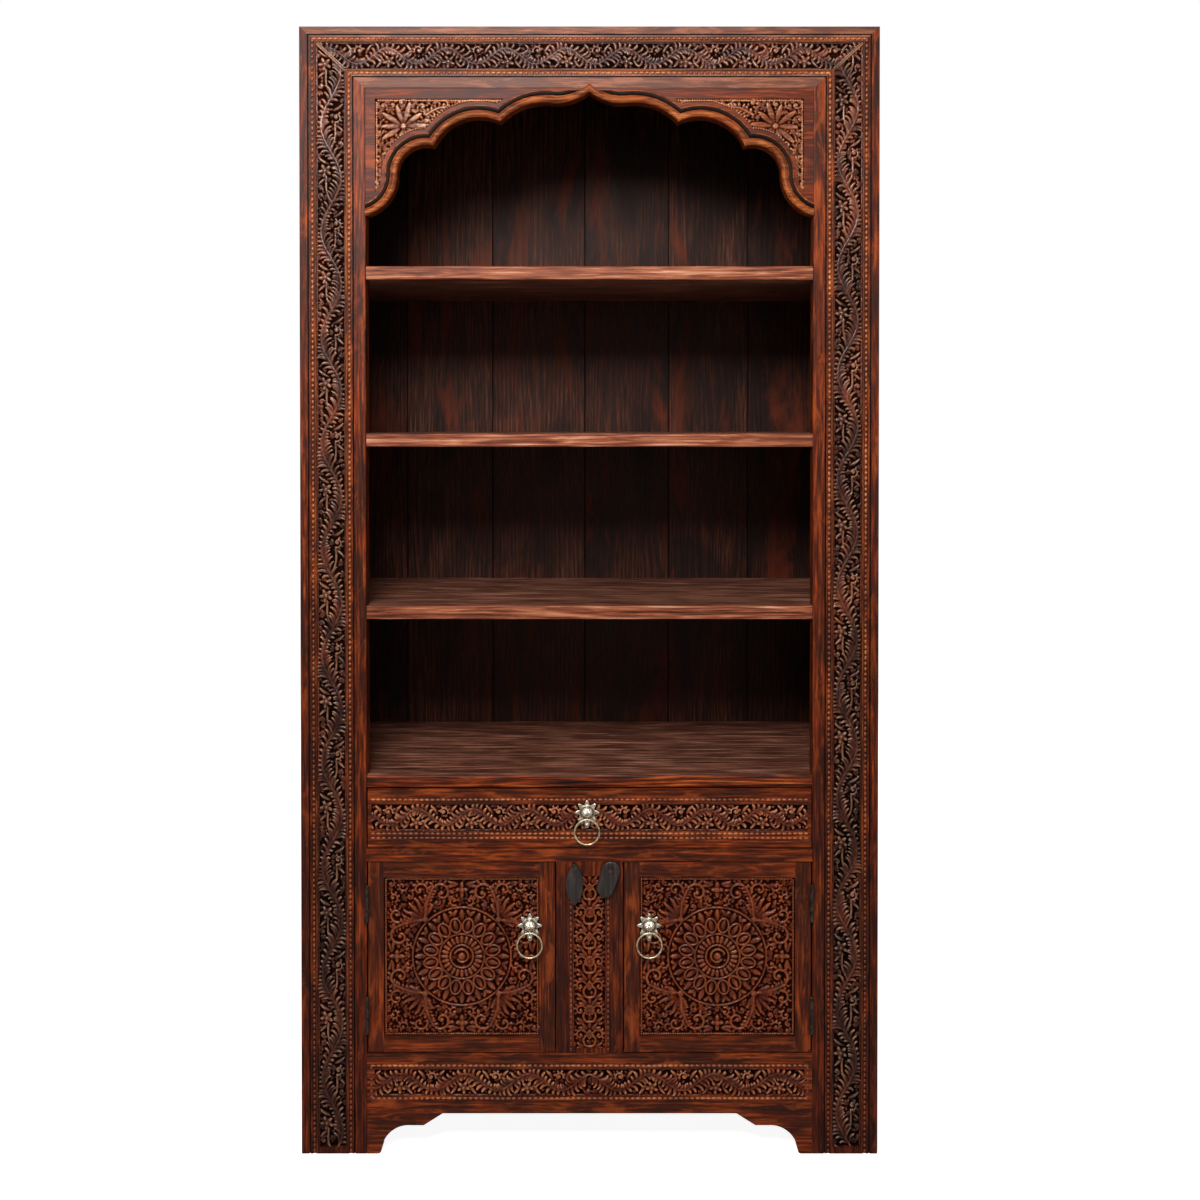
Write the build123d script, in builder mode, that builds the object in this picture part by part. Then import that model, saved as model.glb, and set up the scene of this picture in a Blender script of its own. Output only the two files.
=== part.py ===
# Carved hardwood bookcase: open shelves under a lobed arch, one drawer and a two-door cupboard.
# Millimetres. +X is right, +Y is to the back, +Z is up. The origin is on the floor, under the
# middle of the whole piece with its pulls.
import os
from math import cos, radians, sin

from build123d import *

os.makedirs("parts", exist_ok=True)

# Carcase
cabinet_width = 938.0
cabinet_height = 1830.0
carcase_depth = 380.0
side_thickness = 20.0
top_thickness = 20.0
back_thickness = 12.0
side_edge_round = 1.5
housing_depth = 8.0  # how far a shelf or board is let into each side panel
housing_shoulder = 4.0  # how much thinner its ends are, cut from the top
plank_joints = (-351.0, -188.0, -12.0, 148.0, 299.0)
plank_bevel = 1.2

# Shelves
shelf_thickness = 22.0
upper_shelf_drop = 80.3  # from the springing of the arch down to the upper shelf
lower_shelf_share = 276 / 827  # of the height from the counter to the upper shelf
middle_shelf_share = 556 / 827
counter_top = 617.0
counter_thickness = 20.0
floor_thickness = 20.0
floor_drop = 4.0  # cupboard floor below the top edge of the base rail
shelf_setback = 3.0
shelf_edge_round = 3.0
shelf_side_gap = 0.2

# Surround: two stiles and a head, mitred at the top corners
surround_thickness = 28.0
stile_width = 107.0
head_height = 100.0
outer_edge_round = 2.0
groove_width = 2.4
groove_depth = 1.5
outer_groove_from_edge = 13.0
inner_groove_from_edge = 85.6
bead_channel_width = 5.0
bead_channel_depth = 1.4
outer_bead_from_edge = 18.9
inner_bead_from_edge = 78.1
carved_band_from_edge = 27.6
carved_band_width = 46.2
carved_band_foot = 11.0
carving_depth = 5.0

# Arch panel and its roll moulding
arch_panel_thickness = 22.0
arch_rise = 205.7
moulding_width = 20.0
moulding_height = 6.0
gable_rise = 13.0
gable_half_width = 36.0
spandrel_margin = 26.0
spandrel_from_side = 15.5
spandrel_from_top = 16.5
spandrel_width = 225.0
spandrel_depth = 4.0

# Rails, post and base
mid_rail_height = 21.0
mid_rail_top = 498.4
post_width = 108.0
post_lip = 10.0
post_lip_thickness = 12.0
post_field_width = 55.0
post_field_end = 8.0
base_rail_bottom = 66.0
base_rail_height = 98.5
base_field_height = 44.6
base_field_from_top = 26.0
base_field_end = 12.0
tenon_length = 16.0
tenon_thickness = 9.0
tenon_shoulder = 5.0
bracket_reach = 123.0
bracket_ledge = 46.5
bracket_ledge_length = 21.0
bracket_nose = 31.0
bracket_toe = 17.0
bracket_toe_rise = 6.0

# Drawer
drawer_front_thickness = 20.0
drawer_side_thickness = 12.0
drawer_bottom_thickness = 6.0
drawer_rear_gap = 12.0  # between the closed drawer and the back planks
drawer_side_height = 84.0
drawer_groove_depth = 5.0
drawer_bottom_lift = 8.0
drawer_face_gap = 1.6
drawer_side_gap = 2.0
drawer_run_gap = 0.4
drawer_field_height = 44.4
drawer_field_from_top = 24.3
drawer_field_end = 6.0
drawer_lap = 10.0
runner_thickness = 18.0
runner_overlap = 22.0
guide_width = 20.0
guide_height = 36.0
guide_gap = 0.6

# Doors
door_thickness = 22.0
door_setback = 1.0
door_hinge_gap = 2.4
door_free_gap = 2.5
door_end_gap = 1.7
door_member_width = 25.0
door_groove_depth = 6.0
door_panel_rear = 3.0
door_ground_depth = 6.0
medallion_ring_radius = 80.0
medallion_ring_width = 5.0
medallion_height = 4.0
petal_count = 16
petal_outer_radius = 62.0
petal_width = 12.0
boss_radius = 16.0
rope_ring_radius = 36.0
rope_ring_width = 5.0
door_tenon_length = 14.0
door_tenon_thickness = 6.0
door_tenon_shoulder = 4.0

# Butt hinges
hinge_length = 56.0
hinge_leaf_thickness = 1.0
hinge_leaf_depth = 19.0
hinge_barrel_radius = 3.5
hinge_pin_radius = 1.5
hinge_pin_play = 0.05
hinge_knuckle_gap = 0.4
hinge_proud = 0.5  # air between barrel and the surround's face
hinge_tip_radius = 2.5
hinge_tip_height = 3.0
upper_hinge_from_top = 66.0
lower_hinge_from_bottom = 61.0
screw_head_radius = 2.5
screw_shank_radius = 1.4
screw_length = 13.0
screw_play = 0.1
screw_spacing = 18.0

# Ring pulls
plate_thickness = 1.5
plate_radius = 13.0
plate_tip_radius = 21.5
plate_tip_width = 8.0
plate_tip_count = 8
plate_drop = 26.0
dome_radius = 11.3
dome_height = 9.0
eye_drop = 9.1
eye_standoff = 9.0
eye_ring_radius = 3.3
eye_wire_radius = 1.1
eye_slot_play = 0.2
ring_radius = 20.1
ring_wire_radius = 1.5
staple_radius = 1.6
staple_play = 0.1
rivet_radius = 5.0
rivet_thickness = 1.5
pad_radius = 12.0
drawer_pull_x = -4.0
drawer_pull_from_top = 38.0
door_pull_from_edge = 40.5
door_pull_from_top = 102.5

# Turn buttons
button_thickness = 9.0
button_gap = 0.3
button_screw_radius = 2.2
button_screw_play = 0.05
button_screw_depth = 16.0
button_head_radius = 4.4
button_head_height = 2.6
left_button_x = -24.3
left_button_from_rail = 7.0
left_button_length = 70.0
left_button_width = 28.0
left_button_heel = 8.0
left_button_tip_round = 4.0
right_button_x = 34.9
right_button_from_rail = 11.5
right_button_length = 63.0
right_button_width = 31.0
right_button_heel = 14.0
right_button_rest_angle = 17.6

# Derived places
hinge_axis_proud = hinge_barrel_radius + hinge_proud
pull_reach = plate_thickness + eye_standoff + eye_ring_radius + eye_wire_radius - door_setback
overall_depth = carcase_depth + pull_reach
face_y = pull_reach - overall_depth / 2
surround_back_y = face_y + surround_thickness
back_y = face_y + carcase_depth
plank_front_y = back_y - back_thickness
half_width = cabinet_width / 2
opening_half = half_width - stile_width
opening_top = cabinet_height - head_height
interior_half = half_width - side_thickness
side_top = cabinet_height - top_thickness
arch_foot_z = opening_top - arch_rise
upper_shelf_top = arch_foot_z - upper_shelf_drop
middle_shelf_top = counter_top + middle_shelf_share * (upper_shelf_top - counter_top)
lower_shelf_top = counter_top + lower_shelf_share * (upper_shelf_top - counter_top)
counter_bottom = counter_top - counter_thickness
mid_rail_bottom = mid_rail_top - mid_rail_height
base_rail_top = base_rail_bottom + base_rail_height
floor_top = base_rail_top - floor_drop
door_front_y = face_y + door_setback
door_back_y = door_front_y + door_thickness
door_top = mid_rail_bottom - door_end_gap
door_bottom = base_rail_top + door_end_gap
door_hinge_x = opening_half - door_hinge_gap
door_free_x = post_width / 2 + door_free_gap
drawer_front_bottom = mid_rail_top + drawer_face_gap
drawer_front_top = counter_bottom - drawer_face_gap
drawer_back_face_y = door_front_y + drawer_front_thickness
hinge_centres = (door_top - upper_hinge_from_top, door_bottom + lower_hinge_from_bottom)
screw_rows = [centre + step * screw_spacing for centre in hinge_centres for step in (-1, 0, 1)]
screw_y = face_y + (door_setback + hinge_leaf_depth) / 2


def front_plane(y):
    # Sketch plane seen from the front: local x is X, local y is Z, extrusions come forward.
    return Plane.XZ.offset(-y)


def save(part, name):
    part.label = name
    export_step(part, f"parts/{name}.step")


def block(x_span, y_span, z_span, mode=Mode.ADD):
    # A square-cut board given by where it starts and ends on each axis.
    middle = tuple(sum(span) / 2 for span in (x_span, y_span, z_span))
    with Locations(middle):
        Box(*[end - start for start, end in (x_span, y_span, z_span)], mode=mode)


def stile_strip(start, end, foot):
    # Outline of a strip along the left stile, from the foot up to the mitre.
    slope = head_height / stile_width
    return [
        (-half_width + start, foot),
        (-half_width + end, foot),
        (-half_width + end, cabinet_height - end * slope),
        (-half_width + start, cabinet_height - start * slope),
    ]


def head_strip(start, end):
    # The same strip along the head, from mitre to mitre.
    slope = head_height / stile_width
    return [
        (-half_width + start, cabinet_height - start * slope),
        (half_width - start, cabinet_height - start * slope),
        (half_width - end, cabinet_height - end * slope),
        (-half_width + end, cabinet_height - end * slope),
    ]


surround_grooves = [
    (outer_groove_from_edge, outer_groove_from_edge + groove_width),
    (inner_groove_from_edge, inner_groove_from_edge + groove_width),
]
surround_channels = [
    (outer_bead_from_edge, outer_bead_from_edge + bead_channel_width),
    (inner_bead_from_edge, inner_bead_from_edge + bead_channel_width),
]
carved_band = (carved_band_from_edge, carved_band_from_edge + carved_band_width)

# --- Side panels, with a housing for every board that crosses the cabinet
shelf_levels = {
    "shelf_upper": upper_shelf_top,
    "shelf_middle": middle_shelf_top,
    "shelf_lower": lower_shelf_top,
}
housings = [(top - shelf_thickness, top) for top in shelf_levels.values()]
housings.append((counter_bottom, counter_top))
housings.append((floor_top - floor_thickness, floor_top))

with BuildPart() as side_panel_left:
    block((-half_width, -interior_half), (surround_back_y, back_y), (0, side_top))
    for low, high in housings:
        block(
            (-interior_half - housing_depth, -interior_half),
            (surround_back_y, plank_front_y),
            (low, high - housing_shoulder),
            mode=Mode.SUBTRACT,
        )
    outer_arrises = side_panel_left.edges().filter_by(Axis.Z).group_by(Axis.X)[0]
    fillet(outer_arrises.sort_by(Axis.Y)[-1], side_edge_round)
save(side_panel_left.part, "side_panel_left")

with BuildPart() as side_panel_right:
    mirror(side_panel_left.part, about=Plane.YZ)
save(side_panel_right.part, "side_panel_right")

# --- Top board, lying on the side panels behind the head
with BuildPart() as top_board:
    block((-half_width, half_width), (surround_back_y, back_y), (side_top, cabinet_height))
save(top_board.part, "top_board")


def cut_end_shoulders(top):
    # Thins both ends of a crossing board from above, so its top face stops at the side panels.
    for side in (-1, 1):
        block(
            sorted((side * interior_half, side * (interior_half + housing_depth))),
            (surround_back_y, plank_front_y),
            (top - housing_shoulder, top),
            mode=Mode.SUBTRACT,
        )


# --- Shelves and counter: let into the sides, notched round the stiles
def crossing_board(top, thickness):
    with BuildPart() as board:
        block(
            (-interior_half - housing_depth, interior_half + housing_depth),
            (surround_back_y, plank_front_y),
            (top - thickness, top),
        )
        tongue_half = opening_half - shelf_side_gap
        block((-tongue_half, tongue_half), (face_y + shelf_setback, surround_back_y), (top - thickness, top))
        front_edges = board.edges().filter_by(Axis.X).group_by(Axis.Y)[0]
        fillet(front_edges, shelf_edge_round)
        cut_end_shoulders(top)
    return board.part


for shelf_name, shelf_top in shelf_levels.items():
    save(crossing_board(shelf_top, shelf_thickness), shelf_name)
save(crossing_board(counter_top, counter_thickness), "counter_board")

with BuildPart() as bottom_board:
    block(
        (-interior_half - housing_depth, interior_half + housing_depth),
        (surround_back_y, plank_front_y),
        (floor_top - floor_thickness, floor_top),
    )
    cut_end_shoulders(floor_top)
save(bottom_board.part, "bottom_board")

# --- Back planks, upright, butted with a bevelled joint
plank_edges = (-interior_half, *plank_joints, interior_half)
for plank_number in range(len(plank_edges) - 1):
    plank_left, plank_right = plank_edges[plank_number : plank_number + 2]
    with BuildPart() as back_plank:
        block((plank_left, plank_right), (plank_front_y, back_y), (base_rail_bottom, side_top))
        chamfer(back_plank.edges().filter_by(Axis.Z), plank_bevel)
    save(back_plank.part, f"back_plank_{plank_number + 1}")

# --- Surround stiles, with mortises for the rails
mid_rail_span = (mid_rail_bottom + tenon_shoulder, mid_rail_top - tenon_shoulder)
base_rail_span = (base_rail_bottom + tenon_shoulder, base_rail_top - tenon_shoulder)
tenon_y = (
    face_y + (surround_thickness - tenon_thickness) / 2,
    face_y + (surround_thickness + tenon_thickness) / 2,
)

with BuildPart() as surround_stile_left:
    with BuildSketch(front_plane(surround_back_y)):
        with BuildLine():
            Polyline(*stile_strip(0, stile_width, 0), close=True)
        make_face()
    extrude(amount=surround_thickness)
    front_arrises = surround_stile_left.edges().filter_by(Axis.Z).group_by(Axis.Y)[0]
    fillet(front_arrises, outer_edge_round)
    for strips, strip_depth in ((surround_grooves, groove_depth), (surround_channels, bead_channel_depth)):
        with BuildSketch(front_plane(face_y)):
            for strip_start, strip_end in strips:
                with BuildLine():
                    Polyline(*stile_strip(strip_start, strip_end, 0), close=True)
                make_face()
        extrude(amount=-strip_depth, mode=Mode.SUBTRACT)
    with BuildSketch(front_plane(face_y)):
        with BuildLine():
            Polyline(*stile_strip(*carved_band, carved_band_foot), close=True)
        make_face()
    extrude(amount=-carving_depth, mode=Mode.SUBTRACT)
    for rail_span in (mid_rail_span, base_rail_span):
        block((-opening_half - tenon_length, -opening_half), tenon_y, rail_span, mode=Mode.SUBTRACT)
    with Locations(*[(-opening_half - screw_length / 2, screw_y, z) for z in screw_rows]):
        Cylinder(screw_shank_radius + screw_play, screw_length, rotation=(0, 90, 0), mode=Mode.SUBTRACT)
save(surround_stile_left.part, "surround_stile_left")

with BuildPart() as surround_stile_right:
    mirror(surround_stile_left.part, about=Plane.YZ)
save(surround_stile_right.part, "surround_stile_right")

# --- Surround head
with BuildPart() as surround_head:
    with BuildSketch(front_plane(surround_back_y)):
        with BuildLine():
            Polyline(*head_strip(0, stile_width), close=True)
        make_face()
    extrude(amount=surround_thickness)
    head_arrises = surround_head.edges().filter_by(Axis.X).group_by(Axis.Y)[0]
    fillet(head_arrises, outer_edge_round)
    for strips, strip_depth in (
        (surround_grooves, groove_depth),
        (surround_channels, bead_channel_depth),
        ([carved_band], carving_depth),
    ):
        with BuildSketch(front_plane(face_y)):
            for strip_start, strip_end in strips:
                with BuildLine():
                    Polyline(*head_strip(strip_start, strip_end), close=True)
                make_face()
        extrude(amount=-strip_depth, mode=Mode.SUBTRACT)
save(surround_head.part, "surround_head")

# --- Lobed arch, drawn to fill the opening: each point is a share of its half width and rise
foot = (1.0, 0.0)
foot_bend = (0.903, 0.105)
shoulder = (0.857, 0.330)
first_lobe = (0.813, 0.500)
first_cusp = (0.694, 0.544)
second_lobe = (0.575, 0.745)
second_cusp = (0.397, 0.733)
third_lobe = (0.300, 0.852)
crown_start = (0.160, 0.884)
crown_bend = (0.068, 0.906)
apex = (0.0, 0.972)
arch_arcs = (
    (foot, foot_bend, shoulder),
    (shoulder, first_lobe, first_cusp),
    (first_cusp, second_lobe, second_cusp),
    (second_cusp, third_lobe, crown_start),
    (crown_start, crown_bend, apex),
)
arch_skirt = 60.0  # how far the drawn opening carries on below the arch's feet

with BuildSketch(Plane.XY) as arch_opening:
    with BuildLine():
        for side in (-1, 1):
            for arc in arch_arcs:
                ThreePointArc(*[(side * x * opening_half, arch_foot_z + z * arch_rise) for x, z in arc])
        Polyline(
            (-opening_half, arch_foot_z),
            (-opening_half, arch_foot_z - arch_skirt),
            (opening_half, arch_foot_z - arch_skirt),
            (opening_half, arch_foot_z),
        )
    make_face()

spandrel_x = opening_half - spandrel_from_side - spandrel_width / 2
spandrel_height = arch_rise - spandrel_from_top
spandrel_z = arch_foot_z + spandrel_height / 2

with BuildPart() as arch_panel:
    with BuildSketch(front_plane(face_y + arch_panel_thickness)):
        with Locations((0, arch_foot_z + arch_rise / 2)):
            Rectangle(2 * opening_half, arch_rise)
        add(arch_opening.sketch, mode=Mode.SUBTRACT)
    extrude(amount=arch_panel_thickness)
    with BuildSketch(front_plane(face_y)):
        with Locations((-spandrel_x, spandrel_z), (spandrel_x, spandrel_z)):
            Rectangle(spandrel_width, spandrel_height)
        offset(arch_opening.sketch, amount=spandrel_margin, mode=Mode.SUBTRACT)
    extrude(amount=-spandrel_depth, mode=Mode.SUBTRACT)
save(arch_panel.part, "arch_panel")

# The moulding follows the lobes and rises to a low pointed gable over the apex.
crown_line_z = arch_foot_z + crown_start[1] * arch_rise + moulding_width
gable_tip_z = arch_foot_z + apex[1] * arch_rise + gable_rise
with BuildSketch(Plane.XY) as moulding_limit:
    with BuildLine():
        Polyline(
            (-opening_half, arch_foot_z),
            (opening_half, arch_foot_z),
            (opening_half, crown_line_z),
            (gable_half_width, crown_line_z),
            (0, gable_tip_z),
            (-gable_half_width, crown_line_z),
            (-opening_half, crown_line_z),
            close=True,
        )
    make_face()
with BuildPart() as arch_moulding:
    with BuildSketch(front_plane(face_y)):
        offset(arch_opening.sketch, amount=moulding_width)
        add(arch_opening.sketch, mode=Mode.SUBTRACT)
        add(moulding_limit.sketch, mode=Mode.INTERSECT)
    extrude(amount=moulding_height)
save(arch_moulding.part, "arch_moulding")

# --- Mid rail, between drawer and doors, tenoned into the stiles and mortised for the post
post_tenon_half = post_width / 2 - tenon_shoulder
with BuildPart() as mid_rail:
    block((-opening_half, opening_half), (face_y, surround_back_y), (mid_rail_bottom, mid_rail_top))
    block((-opening_half - tenon_length, opening_half + tenon_length), tenon_y, mid_rail_span)
    block(
        (-post_tenon_half, post_tenon_half),
        tenon_y,
        (mid_rail_bottom, mid_rail_bottom + tenon_shoulder),
        mode=Mode.SUBTRACT,
    )
save(mid_rail.part, "mid_rail")

# --- Centre post with a rear lip that stops both doors
post_bottom = base_rail_top
post_top = mid_rail_bottom
lip_y = (door_back_y + door_setback, door_back_y + door_setback + post_lip_thickness)
button_places = {
    "left": (left_button_x, post_top - left_button_from_rail),
    "right": (right_button_x, post_top - right_button_from_rail),
}
with BuildPart() as centre_post:
    block((-post_width / 2, post_width / 2), (face_y, lip_y[1]), (post_bottom, post_top))
    block((-post_width / 2 - post_lip, post_width / 2 + post_lip), lip_y, (post_bottom, post_top))
    for tenon_foot, tenon_head in (
        (post_top, post_top + tenon_shoulder),
        (post_bottom - tenon_shoulder, post_bottom),
    ):
        block((-post_tenon_half, post_tenon_half), tenon_y, (tenon_foot, tenon_head))
    post_field_bottom = post_bottom + post_field_end
    post_field_top = min(z for x, z in button_places.values()) - button_head_radius - post_field_end
    with BuildSketch(front_plane(face_y)):
        with Locations((0, (post_field_bottom + post_field_top) / 2)):
            Rectangle(post_field_width, post_field_top - post_field_bottom)
    extrude(amount=-carving_depth, mode=Mode.SUBTRACT)
    with BuildSketch(front_plane(face_y)):
        with Locations(*button_places.values()):
            Circle(button_screw_radius + staple_play)
    extrude(amount=-button_screw_depth, mode=Mode.SUBTRACT)
save(centre_post.part, "centre_post")

# --- Base rail
base_field_z = base_rail_top - base_field_from_top - base_field_height / 2
with BuildPart() as base_rail:
    block((-opening_half, opening_half), (face_y, surround_back_y), (base_rail_bottom, base_rail_top))
    block((-opening_half - tenon_length, opening_half + tenon_length), tenon_y, base_rail_span)
    block(
        (-post_tenon_half, post_tenon_half),
        tenon_y,
        (base_rail_top - tenon_shoulder, base_rail_top),
        mode=Mode.SUBTRACT,
    )
    with BuildSketch(front_plane(face_y)):
        with Locations((0, base_field_z)):
            Rectangle(2 * (opening_half - base_field_end), base_field_height)
    extrude(amount=-carving_depth, mode=Mode.SUBTRACT)
save(base_rail.part, "base_rail")

# --- Bracket feet under the base rail
bracket_cove_z = bracket_ledge - bracket_toe_rise
bracket_cove_start = -opening_half + bracket_reach - bracket_nose - bracket_ledge_length
bracket_toe_x = -opening_half + bracket_toe
cove_reach = bracket_cove_start - bracket_toe_x - bracket_toe_rise
with BuildPart() as bracket_left:
    with BuildSketch(front_plane(surround_back_y)):
        with BuildLine():
            Polyline(
                (bracket_cove_start, bracket_ledge),
                (bracket_cove_start + bracket_ledge_length, bracket_ledge),
                (-opening_half + bracket_reach, base_rail_bottom),
                (-opening_half, base_rail_bottom),
                (-opening_half, 0),
                (bracket_toe_x, 0),
            )
            ThreePointArc(
                (bracket_toe_x, 0),
                (
                    bracket_toe_x + bracket_toe_rise * sin(radians(45)),
                    bracket_toe_rise * (1 - cos(radians(45))),
                ),
                (bracket_toe_x + bracket_toe_rise, bracket_toe_rise),
            )
            ThreePointArc(
                (bracket_toe_x + bracket_toe_rise, bracket_toe_rise),
                (
                    bracket_cove_start - cove_reach * cos(radians(45)),
                    bracket_toe_rise + bracket_cove_z * sin(radians(45)),
                ),
                (bracket_cove_start, bracket_ledge),
            )
        make_face()
    extrude(amount=surround_thickness)
save(bracket_left.part, "bracket_left")

with BuildPart() as bracket_right:
    mirror(bracket_left.part, about=Plane.YZ)
save(bracket_right.part, "bracket_right")

# --- Drawer runners: a flat the drawer side rides on, with an upright guide beside it
drawer_outer_half = opening_half - drawer_side_gap
drawer_side_bottom = mid_rail_top + drawer_run_gap
guide_start = drawer_outer_half + guide_gap
with BuildPart() as drawer_runner_right:
    block(
        (drawer_outer_half - runner_overlap, interior_half),
        (surround_back_y, plank_front_y),
        (mid_rail_top - runner_thickness, mid_rail_top),
    )
    block(
        (guide_start, guide_start + guide_width),
        (surround_back_y, plank_front_y),
        (mid_rail_top, mid_rail_top + guide_height),
    )
save(drawer_runner_right.part, "drawer_runner_right")

with BuildPart() as drawer_runner_left:
    mirror(drawer_runner_right.part, about=Plane.YZ)
save(drawer_runner_left.part, "drawer_runner_left")

# --- Drawer
drawer_field_z = drawer_front_top - drawer_field_from_top - drawer_field_height / 2
drawer_pull_z = drawer_front_top - drawer_pull_from_top
drawer_inner_half = drawer_outer_half - drawer_side_thickness
drawer_rear_y = plank_front_y - drawer_rear_gap
drawer_side_top = drawer_side_bottom + drawer_side_height
drawer_bottom_z = drawer_side_bottom + drawer_bottom_lift
bottom_panel_z = (drawer_bottom_z, drawer_bottom_z + drawer_bottom_thickness)
bottom_half = drawer_inner_half + drawer_groove_depth
lap_y = drawer_back_face_y - drawer_lap

with BuildPart() as drawer_front:
    block(
        (-opening_half + drawer_face_gap, opening_half - drawer_face_gap),
        (door_front_y, drawer_back_face_y),
        (drawer_front_bottom, drawer_front_top),
    )
    with BuildSketch(front_plane(door_front_y)):
        with Locations((0, drawer_field_z)):
            Rectangle(2 * (opening_half - drawer_face_gap - drawer_field_end), drawer_field_height)
        with Locations((drawer_pull_x, drawer_pull_z)):
            Circle(pad_radius, mode=Mode.SUBTRACT)
    extrude(amount=-carving_depth, mode=Mode.SUBTRACT)
    for side in (-1, 1):
        side_span = sorted((side * drawer_outer_half, side * drawer_inner_half))
        lap_span = (drawer_front_bottom, drawer_side_top)
        block(side_span, (lap_y, drawer_back_face_y), lap_span, mode=Mode.SUBTRACT)
    block(
        (-bottom_half, bottom_half),
        (drawer_back_face_y - drawer_groove_depth, drawer_back_face_y),
        bottom_panel_z,
        mode=Mode.SUBTRACT,
    )
    with BuildSketch(front_plane(door_front_y)):
        with Locations((drawer_pull_x, drawer_pull_z - eye_drop)):
            Circle(staple_radius + staple_play)
    extrude(amount=-drawer_front_thickness, mode=Mode.SUBTRACT)
save(drawer_front.part, "drawer_front")

with BuildPart() as drawer_side_right:
    block(
        (drawer_inner_half, drawer_outer_half),
        (drawer_back_face_y, drawer_rear_y),
        (drawer_side_bottom, drawer_side_top),
    )
    block(
        (drawer_inner_half, drawer_outer_half),
        (lap_y, drawer_back_face_y),
        (drawer_front_bottom, drawer_side_top),
    )
    block((drawer_inner_half, bottom_half), (lap_y, drawer_rear_y), bottom_panel_z, mode=Mode.SUBTRACT)
save(drawer_side_right.part, "drawer_side_right")

with BuildPart() as drawer_side_left:
    mirror(drawer_side_right.part, about=Plane.YZ)
save(drawer_side_left.part, "drawer_side_left")

with BuildPart() as drawer_back:
    block(
        (-drawer_inner_half, drawer_inner_half),
        (drawer_rear_y - drawer_side_thickness, drawer_rear_y),
        (bottom_panel_z[1], drawer_side_top),
    )
save(drawer_back.part, "drawer_back")

with BuildPart() as drawer_bottom:
    block(
        (-bottom_half, bottom_half),
        (drawer_back_face_y - drawer_groove_depth, drawer_rear_y),
        bottom_panel_z,
    )
save(drawer_bottom.part, "drawer_bottom")

# --- Doors: framed, with a carved panel held in grooves. Drawn for the left door.
panel_left = -door_hinge_x + door_member_width
panel_right = -door_free_x - door_member_width
panel_bottom = door_bottom + door_member_width
panel_top = door_top - door_member_width
panel_front_y = door_front_y + door_ground_depth
panel_back_y = door_back_y - door_panel_rear
panel_centre = ((panel_left + panel_right) / 2, (panel_bottom + panel_top) / 2)
door_pull_x = -door_free_x - door_pull_from_edge
door_pull_z = door_top - door_pull_from_top
door_tenon_y = (
    door_front_y + (door_thickness - door_tenon_thickness) / 2,
    door_front_y + (door_thickness + door_tenon_thickness) / 2,
)
panel_groove_y = (panel_front_y, panel_back_y)

door_rails = {
    "top_rail": (panel_top, door_top, door_top - door_tenon_shoulder, panel_top + door_groove_depth),
    "bottom_rail": (
        door_bottom,
        panel_bottom,
        door_bottom + door_tenon_shoulder,
        panel_bottom - door_groove_depth,
    ),
}
door_nodes = {}

with BuildPart() as door_hinge_stile:
    block((-door_hinge_x, panel_left), (door_front_y, door_back_y), (door_bottom, door_top))
    block(
        (panel_left - door_groove_depth, panel_left),
        panel_groove_y,
        (panel_bottom - door_groove_depth, panel_top + door_groove_depth),
        mode=Mode.SUBTRACT,
    )
    for rail_low, rail_high, tenon_edge, tenon_root in door_rails.values():
        block(
            (panel_left - door_tenon_length, panel_left),
            door_tenon_y,
            sorted((tenon_edge, tenon_root)),
            mode=Mode.SUBTRACT,
        )
    with Locations(*[(-door_hinge_x + screw_length / 2, screw_y, z) for z in screw_rows]):
        Cylinder(screw_shank_radius + screw_play, screw_length, rotation=(0, 90, 0), mode=Mode.SUBTRACT)
door_nodes["hinge_stile"] = door_hinge_stile.part

with BuildPart() as door_lock_stile:
    block((panel_right, -door_free_x), (door_front_y, door_back_y), (door_bottom, door_top))
    block(
        (panel_right, panel_right + door_groove_depth),
        panel_groove_y,
        (panel_bottom - door_groove_depth, panel_top + door_groove_depth),
        mode=Mode.SUBTRACT,
    )
    for rail_low, rail_high, tenon_edge, tenon_root in door_rails.values():
        block(
            (panel_right, panel_right + door_tenon_length),
            door_tenon_y,
            sorted((tenon_edge, tenon_root)),
            mode=Mode.SUBTRACT,
        )
door_nodes["lock_stile"] = door_lock_stile.part

for rail_name, (rail_low, rail_high, tenon_edge, tenon_root) in door_rails.items():
    groove_span = (panel_top, panel_top + door_groove_depth)
    if rail_name == "bottom_rail":
        groove_span = (panel_bottom - door_groove_depth, panel_bottom)
    with BuildPart() as door_rail:
        block((panel_left, panel_right), (door_front_y, door_back_y), (rail_low, rail_high))
        block(
            (panel_left - door_tenon_length, panel_right + door_tenon_length),
            door_tenon_y,
            sorted((tenon_edge, tenon_root)),
        )
        block((panel_left, panel_right), panel_groove_y, groove_span, mode=Mode.SUBTRACT)
    door_nodes[rail_name] = door_rail.part

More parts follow.
